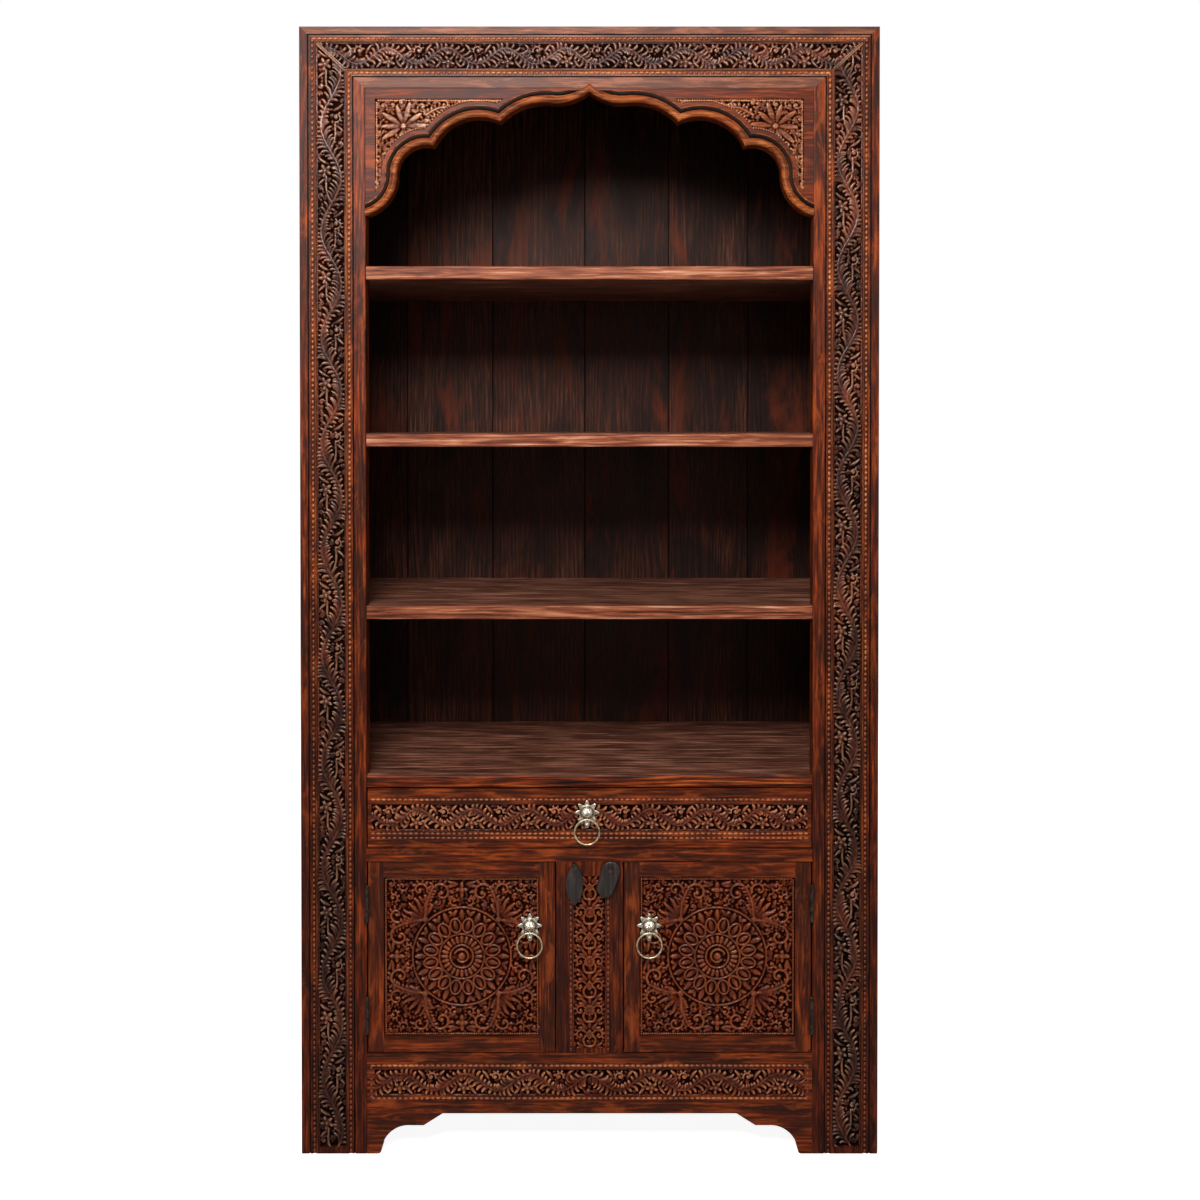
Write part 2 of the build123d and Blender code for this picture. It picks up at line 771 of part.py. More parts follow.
with BuildPart() as door_panel:
    block(
        (panel_left - door_groove_depth, panel_right + door_groove_depth),
        panel_groove_y,
        (panel_bottom - door_groove_depth, panel_top + door_groove_depth),
    )
    with BuildSketch(front_plane(panel_front_y)):
        with Locations(panel_centre):
            Circle(medallion_ring_radius + medallion_ring_width / 2)
            Circle(medallion_ring_radius - medallion_ring_width / 2, mode=Mode.SUBTRACT)
            Circle(rope_ring_radius)
            Circle(rope_ring_radius - rope_ring_width, mode=Mode.SUBTRACT)
            Circle(boss_radius)
            with PolarLocations((rope_ring_radius + petal_outer_radius) / 2, petal_count):
                Ellipse((petal_outer_radius - rope_ring_radius) / 2 + 1, petal_width / 2 - 1)
    extrude(amount=medallion_height)
    with BuildSketch(front_plane(panel_front_y)):
        with Locations((door_pull_x, door_pull_z)):
            Circle(pad_radius)
    extrude(amount=door_ground_depth)
    with BuildSketch(front_plane(door_front_y)):
        with Locations((door_pull_x, door_pull_z - eye_drop)):
            Circle(staple_radius + staple_play)
    extrude(amount=-door_thickness, mode=Mode.SUBTRACT)
door_nodes["panel"] = door_panel.part

for member_name, member in door_nodes.items():
    save(member, f"door_left_{member_name}")
    with BuildPart() as right_member:
        mirror(member, about=Plane.YZ)
    save(right_member.part, f"door_right_{member_name}")

# --- Butt hinges. The axis stands proud of the face, over the gap between door and stile.
hinge_x = opening_half - door_hinge_gap / 2
hinge_y = face_y - hinge_axis_proud
knuckle_length = (hinge_length - 2 * hinge_knuckle_gap) / 3
knuckle_step = knuckle_length + hinge_knuckle_gap


def hinge_leaf(leaf_span, knuckle_steps):
    # Both left hinges: a flat leaf with barrels at the given steps from each hinge's middle.
    with BuildPart() as leaf:
        for centre in hinge_centres:
            block(
                leaf_span,
                (face_y, face_y + door_setback + hinge_leaf_depth),
                (centre - hinge_length / 2, centre + hinge_length / 2),
            )
            for step in knuckle_steps:
                knuckle_z = centre + step * knuckle_step
                with Locations((-hinge_x, hinge_y, knuckle_z)):
                    Cylinder(hinge_barrel_radius, knuckle_length)
                block(
                    leaf_span,
                    (hinge_y, face_y),
                    (knuckle_z - knuckle_length / 2, knuckle_z + knuckle_length / 2),
                )
            with Locations((-hinge_x, hinge_y, centre)):
                Cylinder(hinge_pin_radius + hinge_pin_play, 2 * hinge_length, mode=Mode.SUBTRACT)
        with Locations(*[(sum(leaf_span) / 2, screw_y, z) for z in screw_rows]):
            Cylinder(
                screw_head_radius + screw_play,
                2 * hinge_leaf_thickness,
                rotation=(0, 90, 0),
                mode=Mode.SUBTRACT,
            )
    return leaf.part


def hinge_screws(seat_x, inward):
    # Flat-headed screws: the head fills its hole in the leaf, the shank runs into the wood.
    with BuildPart() as screws:
        with Locations(*[(seat_x - inward * hinge_leaf_thickness / 2, screw_y, z) for z in screw_rows]):
            Cylinder(screw_head_radius, hinge_leaf_thickness, rotation=(0, 90, 0))
        shank_length = screw_length - screw_play
        with Locations(*[(seat_x + inward * shank_length / 2, screw_y, z) for z in screw_rows]):
            Cylinder(screw_shank_radius, shank_length, rotation=(0, 90, 0))
    return screws.part


frame_leaf = hinge_leaf((-opening_half, -opening_half + hinge_leaf_thickness), (-1, 1))
door_leaf = hinge_leaf((-door_hinge_x - hinge_leaf_thickness, -door_hinge_x), (0,))
frame_screws = hinge_screws(-opening_half, -1)
door_screws = hinge_screws(-door_hinge_x, 1)

with BuildPart() as left_pins:
    for centre in hinge_centres:
        with Locations((-hinge_x, hinge_y, centre)):
            Cylinder(hinge_pin_radius, hinge_length)
        for end in (-1, 1):
            tip_z = centre + end * (hinge_length + hinge_tip_height) / 2
            with Locations((-hinge_x, hinge_y, tip_z)):
                Cylinder(hinge_tip_radius, hinge_tip_height)
    round_arrises = left_pins.edges().filter_by(GeomType.CIRCLE)
    tip_arrises = round_arrises.filter_by(lambda e: e.radius == hinge_tip_radius)
    outer_arrises = [
        e
        for e in tip_arrises
        for centre in hinge_centres
        if abs(abs(e.center().Z - centre) - hinge_length / 2 - hinge_tip_height) < 0.01
    ]
    fillet(outer_arrises, hinge_tip_radius * 0.8)

for node_name, left_half in (
    ("hinge_leaves_frame", frame_leaf),
    ("hinge_screws_frame", frame_screws),
    ("hinge_pins", left_pins.part),
):
    with BuildPart() as both_sides:
        add(left_half)
        mirror(left_half, about=Plane.YZ)
    save(both_sides.part, node_name)

for node_name, left_half in (("hinge_leaves_door", door_leaf), ("hinge_screws_door", door_screws)):
    save(left_half, f"{node_name}_left")
    with BuildPart() as right_half:
        mirror(left_half, about=Plane.YZ)
    save(right_half.part, f"{node_name}_right")


# --- Ring pulls: rosette plate with a dome, a staple with an eye, and the ring in the eye
def ring_pull(name, x, z, wood_thickness):
    seat_y = door_front_y
    eye_y = seat_y - plate_thickness - eye_standoff
    eye_z = z - eye_drop
    seat_plane = Plane(origin=(x, seat_y, z), x_dir=(1, 0, 0), z_dir=(0, -1, 0))
    with BuildPart() as plate:
        with BuildSketch(seat_plane):
            Circle(plate_radius)
            with PolarLocations(0, plate_tip_count):
                with BuildLine():
                    Polyline(
                        (plate_radius / 2, -plate_tip_width / 2),
                        (plate_radius, -plate_tip_width / 2),
                        (plate_tip_radius, 0),
                        (plate_radius, plate_tip_width / 2),
                        (plate_radius / 2, plate_tip_width / 2),
                        close=True,
                    )
                make_face()
            with BuildLine():
                Polyline((-plate_tip_width / 2, 0), (0, -plate_drop), (plate_tip_width / 2, 0), close=True)
            make_face()
        extrude(amount=plate_thickness)
        with BuildSketch(Plane(origin=(x, seat_y, z), x_dir=(1, 0, 0), z_dir=(0, 0, 1))):
            with BuildLine():
                rim = (dome_radius, -plate_thickness)
                crown = (0, -plate_thickness - dome_height)
                sphere = (dome_radius**2 + dome_height**2) / (2 * dome_height)
                RadiusArc(rim, crown, sphere)
                Polyline(crown, (0, 0), (dome_radius, 0), rim)
            make_face()
        revolve(axis=Axis((x, seat_y, z), (0, 1, 0)))
        with Locations((x, seat_y, eye_z)):
            Cylinder(staple_radius + staple_play, 4 * dome_height, rotation=(90, 0, 0), mode=Mode.SUBTRACT)
        slot_width = 2 * (eye_wire_radius + eye_slot_play)
        with Locations((x, eye_y, eye_z)):
            Cylinder(
                eye_ring_radius + eye_wire_radius + eye_slot_play,
                slot_width,
                rotation=(0, 90, 0),
                mode=Mode.SUBTRACT,
            )
    save(plate.part, f"pull_plate_{name}")

    with BuildPart() as staple:
        with Locations((x, eye_y, eye_z)):
            Torus(eye_ring_radius, eye_wire_radius, rotation=(0, 90, 0))
        shank_start = eye_y + eye_ring_radius - eye_wire_radius / 2
        shank_end = seat_y + wood_thickness + rivet_thickness
        with Locations((x, (shank_start + shank_end) / 2, eye_z)):
            Cylinder(staple_radius, shank_end - shank_start, rotation=(90, 0, 0))
        with Locations((x, shank_end - rivet_thickness / 2, eye_z)):
            Cylinder(rivet_radius, rivet_thickness, rotation=(90, 0, 0))
    save(staple.part, f"pull_staple_{name}")

    with BuildPart() as ring:
        with Locations((x, eye_y, eye_z - ring_radius)):
            Torus(ring_radius, ring_wire_radius, rotation=(90, 0, 0))
    save(ring.part, f"pull_ring_{name}")
    return x, eye_y, eye_z


pull_axes = {
    "drawer": ring_pull("drawer", drawer_pull_x, drawer_pull_z, drawer_front_thickness),
    "left": ring_pull("left", door_pull_x, door_pull_z, door_thickness - door_panel_rear),
    "right": ring_pull("right", -door_pull_x, door_pull_z, door_thickness - door_panel_rear),
}

# --- Turn buttons, each on one screw in the head of the centre post
button_back_y = face_y - button_gap


def button_plane(side, angle):
    # Local -y runs from the screw to the tip. A positive angle swings the tip to the left.
    x, z = button_places[side]
    lean = radians(angle)
    return Plane(origin=(x, button_back_y, z), x_dir=(cos(lean), 0, -sin(lean)), z_dir=(0, -1, 0))


with BuildPart() as turn_button_left:
    heel_z = left_button_heel
    tip_z = heel_z - left_button_length
    with BuildSketch(button_plane("left", 0)):
        with BuildLine():
            for side in (-1, 1):
                ThreePointArc((0, heel_z), (side * left_button_width / 2, (heel_z + tip_z) / 2), (0, tip_z))
        face = make_face()
        fillet(face.vertices(), left_button_tip_round)
        Circle(button_screw_radius + button_screw_play, mode=Mode.SUBTRACT)
    extrude(amount=button_thickness)
save(turn_button_left.part, "turn_button_left")

with BuildPart() as turn_button_right:
    half = right_button_width / 2
    tip_z = right_button_heel - right_button_length
    with BuildSketch(button_plane("right", right_button_rest_angle)):
        with BuildLine():
            Polyline(
                (-half, 0),
                (-half * 0.9, tip_z * 0.75),
                (0, tip_z),
                (half * 0.9, tip_z * 0.75),
                (half, 0),
            )
            ThreePointArc((half, 0), (0, right_button_heel), (-half, 0))
        make_face()
        Circle(button_screw_radius + button_screw_play, mode=Mode.SUBTRACT)
    extrude(amount=button_thickness)
save(turn_button_right.part, "turn_button_right")

with BuildPart() as button_screws:
    head_y = button_back_y - button_thickness - button_gap
    shank_end_y = face_y + button_screw_depth
    for x, z in button_places.values():
        with Locations((x, (head_y + shank_end_y) / 2, z)):
            Cylinder(button_screw_radius, shank_end_y - head_y, rotation=(90, 0, 0))
        with Locations((x, head_y - button_head_height / 2, z)):
            Cylinder(button_head_radius, button_head_height, rotation=(90, 0, 0))
save(button_screws.part, "button_screws")

print("face_y", face_y, "back_y", back_y, "hinge", hinge_x, hinge_y)
print("pulls", pull_axes)
print("buttons", button_places)
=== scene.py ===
import math
import bmesh
import bpy
import numpy as np
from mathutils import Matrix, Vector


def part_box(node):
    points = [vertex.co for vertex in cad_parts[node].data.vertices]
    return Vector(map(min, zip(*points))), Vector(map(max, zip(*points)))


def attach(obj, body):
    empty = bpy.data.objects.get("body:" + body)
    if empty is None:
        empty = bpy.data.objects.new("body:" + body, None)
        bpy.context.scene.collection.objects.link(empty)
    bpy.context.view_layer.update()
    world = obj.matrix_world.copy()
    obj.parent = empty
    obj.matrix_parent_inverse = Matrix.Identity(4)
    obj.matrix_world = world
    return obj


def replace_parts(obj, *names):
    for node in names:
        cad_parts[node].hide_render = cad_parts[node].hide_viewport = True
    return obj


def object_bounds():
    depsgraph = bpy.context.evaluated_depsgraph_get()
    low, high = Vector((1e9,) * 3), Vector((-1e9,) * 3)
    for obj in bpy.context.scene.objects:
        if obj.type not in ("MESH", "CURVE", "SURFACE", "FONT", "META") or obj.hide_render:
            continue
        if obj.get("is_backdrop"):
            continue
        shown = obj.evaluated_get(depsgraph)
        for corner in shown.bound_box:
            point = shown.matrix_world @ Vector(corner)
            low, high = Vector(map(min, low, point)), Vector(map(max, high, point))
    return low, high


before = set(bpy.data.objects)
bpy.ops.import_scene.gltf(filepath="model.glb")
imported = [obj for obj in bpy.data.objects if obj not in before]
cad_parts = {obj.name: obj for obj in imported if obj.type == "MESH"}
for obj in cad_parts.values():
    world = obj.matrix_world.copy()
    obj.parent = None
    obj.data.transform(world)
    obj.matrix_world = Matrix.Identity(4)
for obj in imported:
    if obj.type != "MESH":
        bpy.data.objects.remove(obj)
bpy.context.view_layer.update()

mm = 0.001
collection = bpy.context.scene.collection

# camera, at standing height, its frame shifted down to the feet
cameraView = {"place": (0.017, -2.201, 1.190), "lens": 37.4, "pitchDown": 0.6, "shiftDown": 0.1367}
cameraData = bpy.data.cameras.new("camera")
cameraData.sensor_width = 36.0
cameraData.lens = cameraView["lens"]
cameraData.shift_y = -cameraView["shiftDown"]
camera = bpy.data.objects.new("camera", cameraData)
camera.location = cameraView["place"]
camera.rotation_euler = (math.radians(90 - cameraView["pitchDown"]), 0, 0)
collection.objects.link(camera)
bpy.context.scene.camera = camera
bpy.context.scene.view_settings.view_transform = "Standard"


def linear(hexColour):  # sRGB hex to the linear colour a shader wants
    values = [int(hexColour[i:i + 2], 16) / 255 for i in (0, 2, 4)]
    return tuple(v / 12.92 if v <= 0.04045 else ((v + 0.055) / 1.055) ** 2.4 for v in values) + (1.0,)


def addNode(tree, kind, settings=None, links=None):  # one node with its settings and what feeds it
    made = tree.nodes.new(kind)
    for key, value in (settings or {}).items():
        if key == "stops":  # places and hex colours along a colour ramp
            elements = made.color_ramp.elements
            while len(elements) < len(value):
                elements.new(0.5)
            for element, (spot, colour) in zip(elements, value):
                element.position, element.color = spot, linear(colour)
        elif isinstance(key, int) or key in made.inputs:
            made.inputs[key].default_value = value
        else:
            setattr(made, key, value)
    for key, source in (links or {}).items():
        tree.links.new(source, made.inputs[key])
    return made


def boxOf(nodeName):  # the low and high corners of a CAD node, in mm
    return [[round(value / mm, 2) for value in corner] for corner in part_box(nodeName)]


def newMaterial(name):
    material = bpy.data.materials.new(name)
    material.use_nodes = True
    material.node_tree.nodes.clear()
    return material, material.node_tree


def mounted(name, mesh, body):  # a visible piece of this mesh, riding on its body
    piece = bpy.data.objects.new(name, mesh)
    collection.objects.link(piece)
    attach(piece, body)
    return piece


def newPiece(name, points, faces, material, body, sharpAngle):  # points in mm
    mesh = bpy.data.meshes.new(name)
    mesh.from_pydata((np.asarray(points) * mm).tolist(), [], faces)
    mesh.materials.append(material)
    mesh.shade_smooth()
    mesh.set_sharp_from_angle(angle=math.radians(sharpAngle))
    return mounted(name, mesh, body)


# floor, world and lamps
studio = {
    "floorColour": "e9e7e4", "floorReach": 9, "floorFront": -7, "floorBack": 11,
    "floorLift": 0.92, "liftFades": (0.7, 2.4), "worldLight": 0.04, "lampAim": (0.0, -0.1, 1.0),
    "keyPlace": (-0.35, -1.95, 2.2), "keySize": (1.0, 0.6), "keyPower": 54,
    "fillPlace": (0.5, -3.2, 1.2), "fillSize": (2.4, 1.6), "fillPower": 4,
    "backPlace": (0.7, 2.9, 1.7), "backSize": (2.0, 1.4), "backPower": 36,
}
floorMesh = bpy.data.meshes.new("studioFloor")
floorCorners = [(x * studio["floorReach"], studio[edge], 0) for x, edge in (
    (-1, "floorFront"), (1, "floorFront"), (1, "floorBack"), (-1, "floorBack"))]
floorMesh.from_pydata(floorCorners, [], [(0, 1, 2, 3)])
floor = bpy.data.objects.new("studioFloor", floorMesh)
collection.objects.link(floor)
floorMaterial, tree = newMaterial("paintedFloor")  # matt white paint, lifted to white for the eye only
path = addNode(tree, "ShaderNodeLightPath")
paint = addNode(tree, "ShaderNodeBsdfDiffuse", {"Color": linear(studio["floorColour"])})
spot = addNode(tree, "ShaderNodeTexCoord")
away = addNode(tree, "ShaderNodeVectorMath", {"operation": "LENGTH"}, {0: spot.outputs["Object"]})
lift = addNode(tree, "ShaderNodeMapRange", {
    "From Min": studio["liftFades"][0], "From Max": studio["liftFades"][1], "To Min": studio["floorLift"]},
    {"Value": away.outputs["Value"]})
seen = addNode(tree, "ShaderNodeMath", {"operation": "MULTIPLY"},
               {0: path.outputs["Is Camera Ray"], 1: lift.outputs[0]})
glow = addNode(tree, "ShaderNodeEmission", links={"Strength": seen.outputs[0]})
both = addNode(tree, "ShaderNodeAddShader", links={0: paint.outputs[0], 1: glow.outputs[0]})
addNode(tree, "ShaderNodeOutputMaterial", links={"Surface": both.outputs[0]})
floorMesh.materials.append(floorMaterial)
floor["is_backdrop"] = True

world = bpy.data.worlds.new("studioWorld")
world.use_nodes = True
tree = world.node_tree
tree.nodes.clear()
path = addNode(tree, "ShaderNodeLightPath")
eyeOrGloss = addNode(tree, "ShaderNodeMath", {"operation": "MAXIMUM"},
                     {0: path.outputs["Is Camera Ray"], 1: path.outputs["Is Glossy Ray"]})
direct = addNode(tree, "ShaderNodeMath", {"operation": "MAXIMUM"},
                 {0: eyeOrGloss.outputs[0], 1: path.outputs["Is Transmission Ray"]})
strength = addNode(tree, "ShaderNodeMapRange", {"To Min": studio["worldLight"], "To Max": 1.0},
                   {"Value": direct.outputs[0]})
sky = addNode(tree, "ShaderNodeBackground", {"Color": (1, 1, 1, 1)}, {"Strength": strength.outputs[0]})
addNode(tree, "ShaderNodeOutputWorld", links={"Surface": sky.outputs[0]})
bpy.context.scene.world = world

for lampName in ("key", "fill", "back"):
    lamp = bpy.data.lights.new(lampName + "Lamp", "AREA")
    lamp.shape = "RECTANGLE"
    lamp.size, lamp.size_y = studio[lampName + "Size"]
    lamp.energy = studio[lampName + "Power"]
    lampObject = bpy.data.objects.new(lampName + "Lamp", lamp)
    lampObject.location = studio[lampName + "Place"]
    away = [a - b for a, b in zip(lampObject.location, studio["lampAim"])]
    lampObject.rotation_euler = (
        math.atan2(math.hypot(away[0], away[1]), away[2]), 0, math.atan2(away[0], -away[1]))
    collection.objects.link(lampObject)
print("studio ready")


# woods. Hand-planed rosewood, stained and waxed: long streaks of orange through dark red-brown, patches
# where the stain has worn, and a low uneven sheen.
def woodFinish(name, look):
    material, tree = newMaterial(name)
    place = addNode(tree, "ShaderNodeTexCoord").outputs["Object"]
    axes = addNode(tree, "ShaderNodeSeparateXYZ", links={"Vector": place})
    along = "XYZ".index(look["grainAxis"])
    clouds = {}
    for cloudName, width, stretch, detail, roughness, twist in (
            ("pores", look["poreWidth"], look["poreStretch"], 2, 0.65, 0.1),
            ("figure", look["figureWidth"], 13, 5, 0.62, 0.5),
            ("patches", look["patchWidth"], 2.6, 4, 0.55, 0.4),
            ("rubs", look["rubWidth"], 4.5, 5, 0.65, 0.6)):
        scale = [1000.0 / width] * 3  # a cell of this width in mm, drawn out along the grain
        scale[along] /= stretch
        spread = addNode(tree, "ShaderNodeMapping", {
            "Location": (look["shift"],) * 3, "Scale": scale}, {"Vector": place})
        cloud = addNode(tree, "ShaderNodeTexNoise", {
            "Scale": 1.0, "Detail": detail, "Roughness": roughness, "Distortion": twist},
            {"Vector": spread.outputs[0]})
        clouds[cloudName] = cloud.outputs["Fac"]
    both = addNode(tree, "ShaderNodeMix", {"data_type": "FLOAT", 0: look["figureShare"]},
                   {2: clouds["pores"], 3: clouds["figure"]})
    if look["ringShare"]:  # year rings this many mm apart, drawn out into long arches
        scale = [314.0 / look["ringWidth"]] * 3  # the wave repeats every 0.314 units
        scale[along] /= 11
        spread = addNode(tree, "ShaderNodeMapping", {
            "Location": (look["shift"],) * 3, "Scale": scale}, {"Vector": place})
        rings = addNode(tree, "ShaderNodeTexWave", {
            "bands_direction": "Z" if look["grainAxis"] == "X" else "X", "Scale": 1.0, "Distortion": 22.0,
            "Detail": 1.0, "Detail Scale": 0.55, "Detail Roughness": 0.5}, {"Vector": spread.outputs[0]})
        both = addNode(tree, "ShaderNodeMix", {"data_type": "FLOAT", 0: look["ringShare"]},
                       {2: both.outputs[0], 3: rings.outputs["Fac"]})
    half = 0.5 / look["contrast"]
    grain = addNode(tree, "ShaderNodeMapRange", {"From Min": 0.5 - half, "From Max": 0.5 + half},
                    {"Value": both.outputs[0]}).outputs[0]
    colour = addNode(tree, "ShaderNodeValToRGB", {"stops": look["grainStops"]}, {"Fac": grain}).outputs[0]
    for cloudName, low, high, amount, tint in (
            ("patches", look["patchFrom"], look["patchTo"], look["patchAmount"], look["patchColour"]),
            ("rubs", look["rubFrom"], look["rubTo"], look["rubAmount"], look["rubColour"])):
        mask = addNode(tree, "ShaderNodeMapRange", {"From Min": low, "From Max": high, "To Max": amount},
                       {"Value": clouds[cloudName]})
        colour = addNode(tree, "ShaderNodeMix", {"data_type": "RGBA", 7: linear(tint)},
                         {0: mask.outputs[0], 6: colour}).outputs[2]
    if "footShade" in look:  # painted shade: the colour darkens towards the floor, where the light falls off
        rise = addNode(tree, "ShaderNodeMapRange", {
            "From Min": look["shadeFrom"], "From Max": look["shadeTo"]}, {"Value": axes.outputs["Z"]})
        shade = addNode(tree, "ShaderNodeMix", {
            "data_type": "RGBA", 6: linear(look["footShade"]), 7: (1, 1, 1, 1)}, {0: rise.outputs[0]})
        colour = addNode(tree, "ShaderNodeMix", {"data_type": "RGBA", "blend_type": "MULTIPLY", 0: 1.0},
                         {6: colour, 7: shade.outputs[2]}).outputs[2]
    if "frontEdge" in look:  # the front arris, rubbed pale by books and hands
        edge = addNode(tree, "ShaderNodeMapRange", {
            "From Min": look["frontEdge"] + look["edgeReach"] * mm,
            "From Max": look["frontEdge"] + look["edgeFull"] * mm}, {"Value": axes.outputs["Y"]})
        pale = addNode(tree, "ShaderNodeValToRGB", {"stops": look["edgeStops"]}, {"Fac": grain})
        colour = addNode(tree, "ShaderNodeMix", {"data_type": "RGBA"},
                         {0: edge.outputs[0], 6: colour, 7: pale.outputs[0]}).outputs[2]
    grime, gloss = grain, None
    if "carvedStops" in look:  # painted shade and dirt in the cuts, wear and a painted highlight on the crests
        crest = addNode(tree, "ShaderNodeAttribute", {"attribute_name": "crest"}).outputs["Fac"]
        spare = 0.5 * look["crestUneven"]
        uneven = addNode(tree, "ShaderNodeMapRange", {"To Min": -spare, "To Max": spare},
                         {"Value": clouds["patches"]})
        proudness = addNode(tree, "ShaderNodeMath", {"operation": "ADD", "use_clamp": True},
                       {0: crest, 1: uneven.outputs[0]}).outputs[0]
        # painted shade, with dirt: the deeper a spot lies, the darker its colour
        tone = addNode(tree, "ShaderNodeValToRGB", {"stops": look["carvedStops"]}, {"Fac": proudness})
        colour = addNode(tree, "ShaderNodeMix", {"data_type": "RGBA", "blend_type": "MULTIPLY", 0: 1.0},
                         {6: colour, 7: tone.outputs[0]}).outputs[2]
        # painted highlight, with wear: the crests paled towards crestColour
        shine = addNode(tree, "ShaderNodeMapRange", {
            "From Min": look["shineFrom"], "From Max": look["shineTo"], "To Max": look["shineAmount"]},
            {"Value": proudness})
        colour = addNode(tree, "ShaderNodeMix", {"data_type": "RGBA", 7: linear(look["crestColour"])},
                         {0: shine.outputs[0], 6: colour}).outputs[2]
        grime = addNode(tree, "ShaderNodeMapRange", {"From Min": 0.68, "From Max": 0.3},
                        {"Value": proudness}).outputs[0]
        gloss = addNode(tree, "ShaderNodeMapRange", {
            "From Min": 0.35, "From Max": 0.7, "To Min": 0.04, "To Max": look["sheen"]},
            {"Value": proudness}).outputs[0]
    rough = addNode(tree, "ShaderNodeMapRange", {
        "To Min": look["roughness"][0], "To Max": look["roughness"][1]}, {"Value": grime})
    bump = addNode(tree, "ShaderNodeBump", {"Strength": look["bump"], "Distance": 0.4 * mm},
                   {"Height": grain})
    shell = {"Base Color": colour, "Roughness": rough.outputs[0], "Normal": bump.outputs[0]}
    if gloss:
        shell["Specular IOR Level"] = gloss
    skin = addNode(tree, "ShaderNodeBsdfPrincipled", {
        "IOR": 1.5, "Specular IOR Level": look["sheen"]}, shell)
    addNode(tree, "ShaderNodeOutputMaterial", links={"Surface": skin.outputs[0]})
    return material


# widths in mm across the grain; shadeFrom and shadeTo are heights in m; the pores are drawn twice as wide
# as real ones, so that they show
boardLook = {
    "grainAxis": "Z", "shift": 0.0, "contrast": 1.8, "bump": 0.6, "sheen": 0.15, "roughness": (0.36, 0.56),
    "poreWidth": 2.4, "poreStretch": 20, "figureWidth": 6.5, "figureShare": 0.58,
    "ringWidth": 8.0, "ringShare": 0.07,
    "patchWidth": 40.0, "patchFrom": 0.44, "patchTo": 0.60, "patchAmount": 0.66, "patchColour": "250f08",
    "rubWidth": 16.0, "rubFrom": 0.54, "rubTo": 0.66, "rubAmount": 0.5, "rubColour": "ab4d1b",
    "grainStops": ((0.10, "130603"), (0.34, "371408"), (0.52, "602309"), (0.70, "964017"), (0.92, "c86b2a")),
    "shadeFrom": 0.1, "shadeTo": 1.25,
}
# carved work in the same wood: dark in the cuts with painted shade and dirt, paler on the crests with wear
# and a painted highlight, a wax shine
carvedLook = dict(boardLook, **{
    "figureShare": 0.85, "ringShare": 0, "patchAmount": 0.35, "rubAmount": 0.2,
    "grainStops": ((0.15, "3e1607"), (0.40, "60250e"), (0.60, "803616"), (0.88, "aa5824")),
    "carvedStops": ((0.12, "3f342f"), (0.34, "7c6c64"), (0.50, "c8bab2"), (0.66, "ffffff")),
    "crestUneven": 0.3, "shineFrom": 0.60, "shineTo": 0.88, "shineAmount": 0.36, "crestColour": "c06a32",
    "roughness": (0.22, 0.8), "bump": 0.35, "sheen": 0.3,
})
# the stiles and head: the same carving under an old dark patina, paler on the crests where it is rubbed and
# a highlight is painted, with painted shade lower down
patinaLook = dict(carvedLook, **{
    "grainStops": ((0.15, "200e08"), (0.40, "3a1b11"), (0.60, "572e1d"), (0.88, "825038")),
    "patchColour": "7c3518", "patchFrom": 0.52, "patchTo": 0.66, "patchAmount": 0.6, "rubColour": "7a452c",
    "carvedStops": ((0.10, "2a1e19"), (0.32, "6a5a52"), (0.48, "bcaea6"), (0.64, "ffffff")),
    "shineFrom": 0.62, "shineTo": 0.86, "crestColour": "b68562", "shineAmount": 0.62, "sheen": 0.34,
    # painted shade lower down, a little warmer as well as darker
    "footShade": "cdbfb2",
})
# small beads, polished by every hand that dusts them: the palest and shiniest wood
beadLook = dict(boardLook, **{
    "grainStops": ((0.15, "66290f"), (0.40, "96491f"), (0.60, "bd713f"), (0.88, "e6a97a")),
    "patchAmount": 0.5, "patchColour": "552311", "rubColour": "d48d58", "roughness": (0.24, 0.4),
    "sheen": 0.4, "ringShare": 0,
})
# thin fillets beside the carving: mid brown, worn along their tops
filletLook = dict(boardLook, **{
    "grainStops": ((0.15, "2c130a"), (0.40, "5c2a15"), (0.60, "84441f"), (0.88, "b06a38")),
    "patchAmount": 0.6, "ringShare": 0,
})
# back planks: nearly black with old stain, fine grain, the red wood coming through in soft patches
plankLook = dict(boardLook, **{
    "poreWidth": 2.2, "poreStretch": 22, "figureWidth": 14.0, "figureShare": 0.26, "contrast": 2.1,
    "grainStops": ((0.10, "140906"), (0.34, "26130d"), (0.55, "3a1e14"), (0.75, "4c291c"), (0.94, "633a2a")),
    "patchWidth": 90.0, "patchColour": "110705", "patchAmount": 0.7, "roughness": (0.42, 0.65), "sheen": 0.1,
    "rubWidth": 64.0, "rubColour": "642811", "rubAmount": 0.7, "ringWidth": 9.0, "ringShare": 0.12,
    # the planks of the lower bays darker: painted shade
    "footShade": "b08c7c",
})
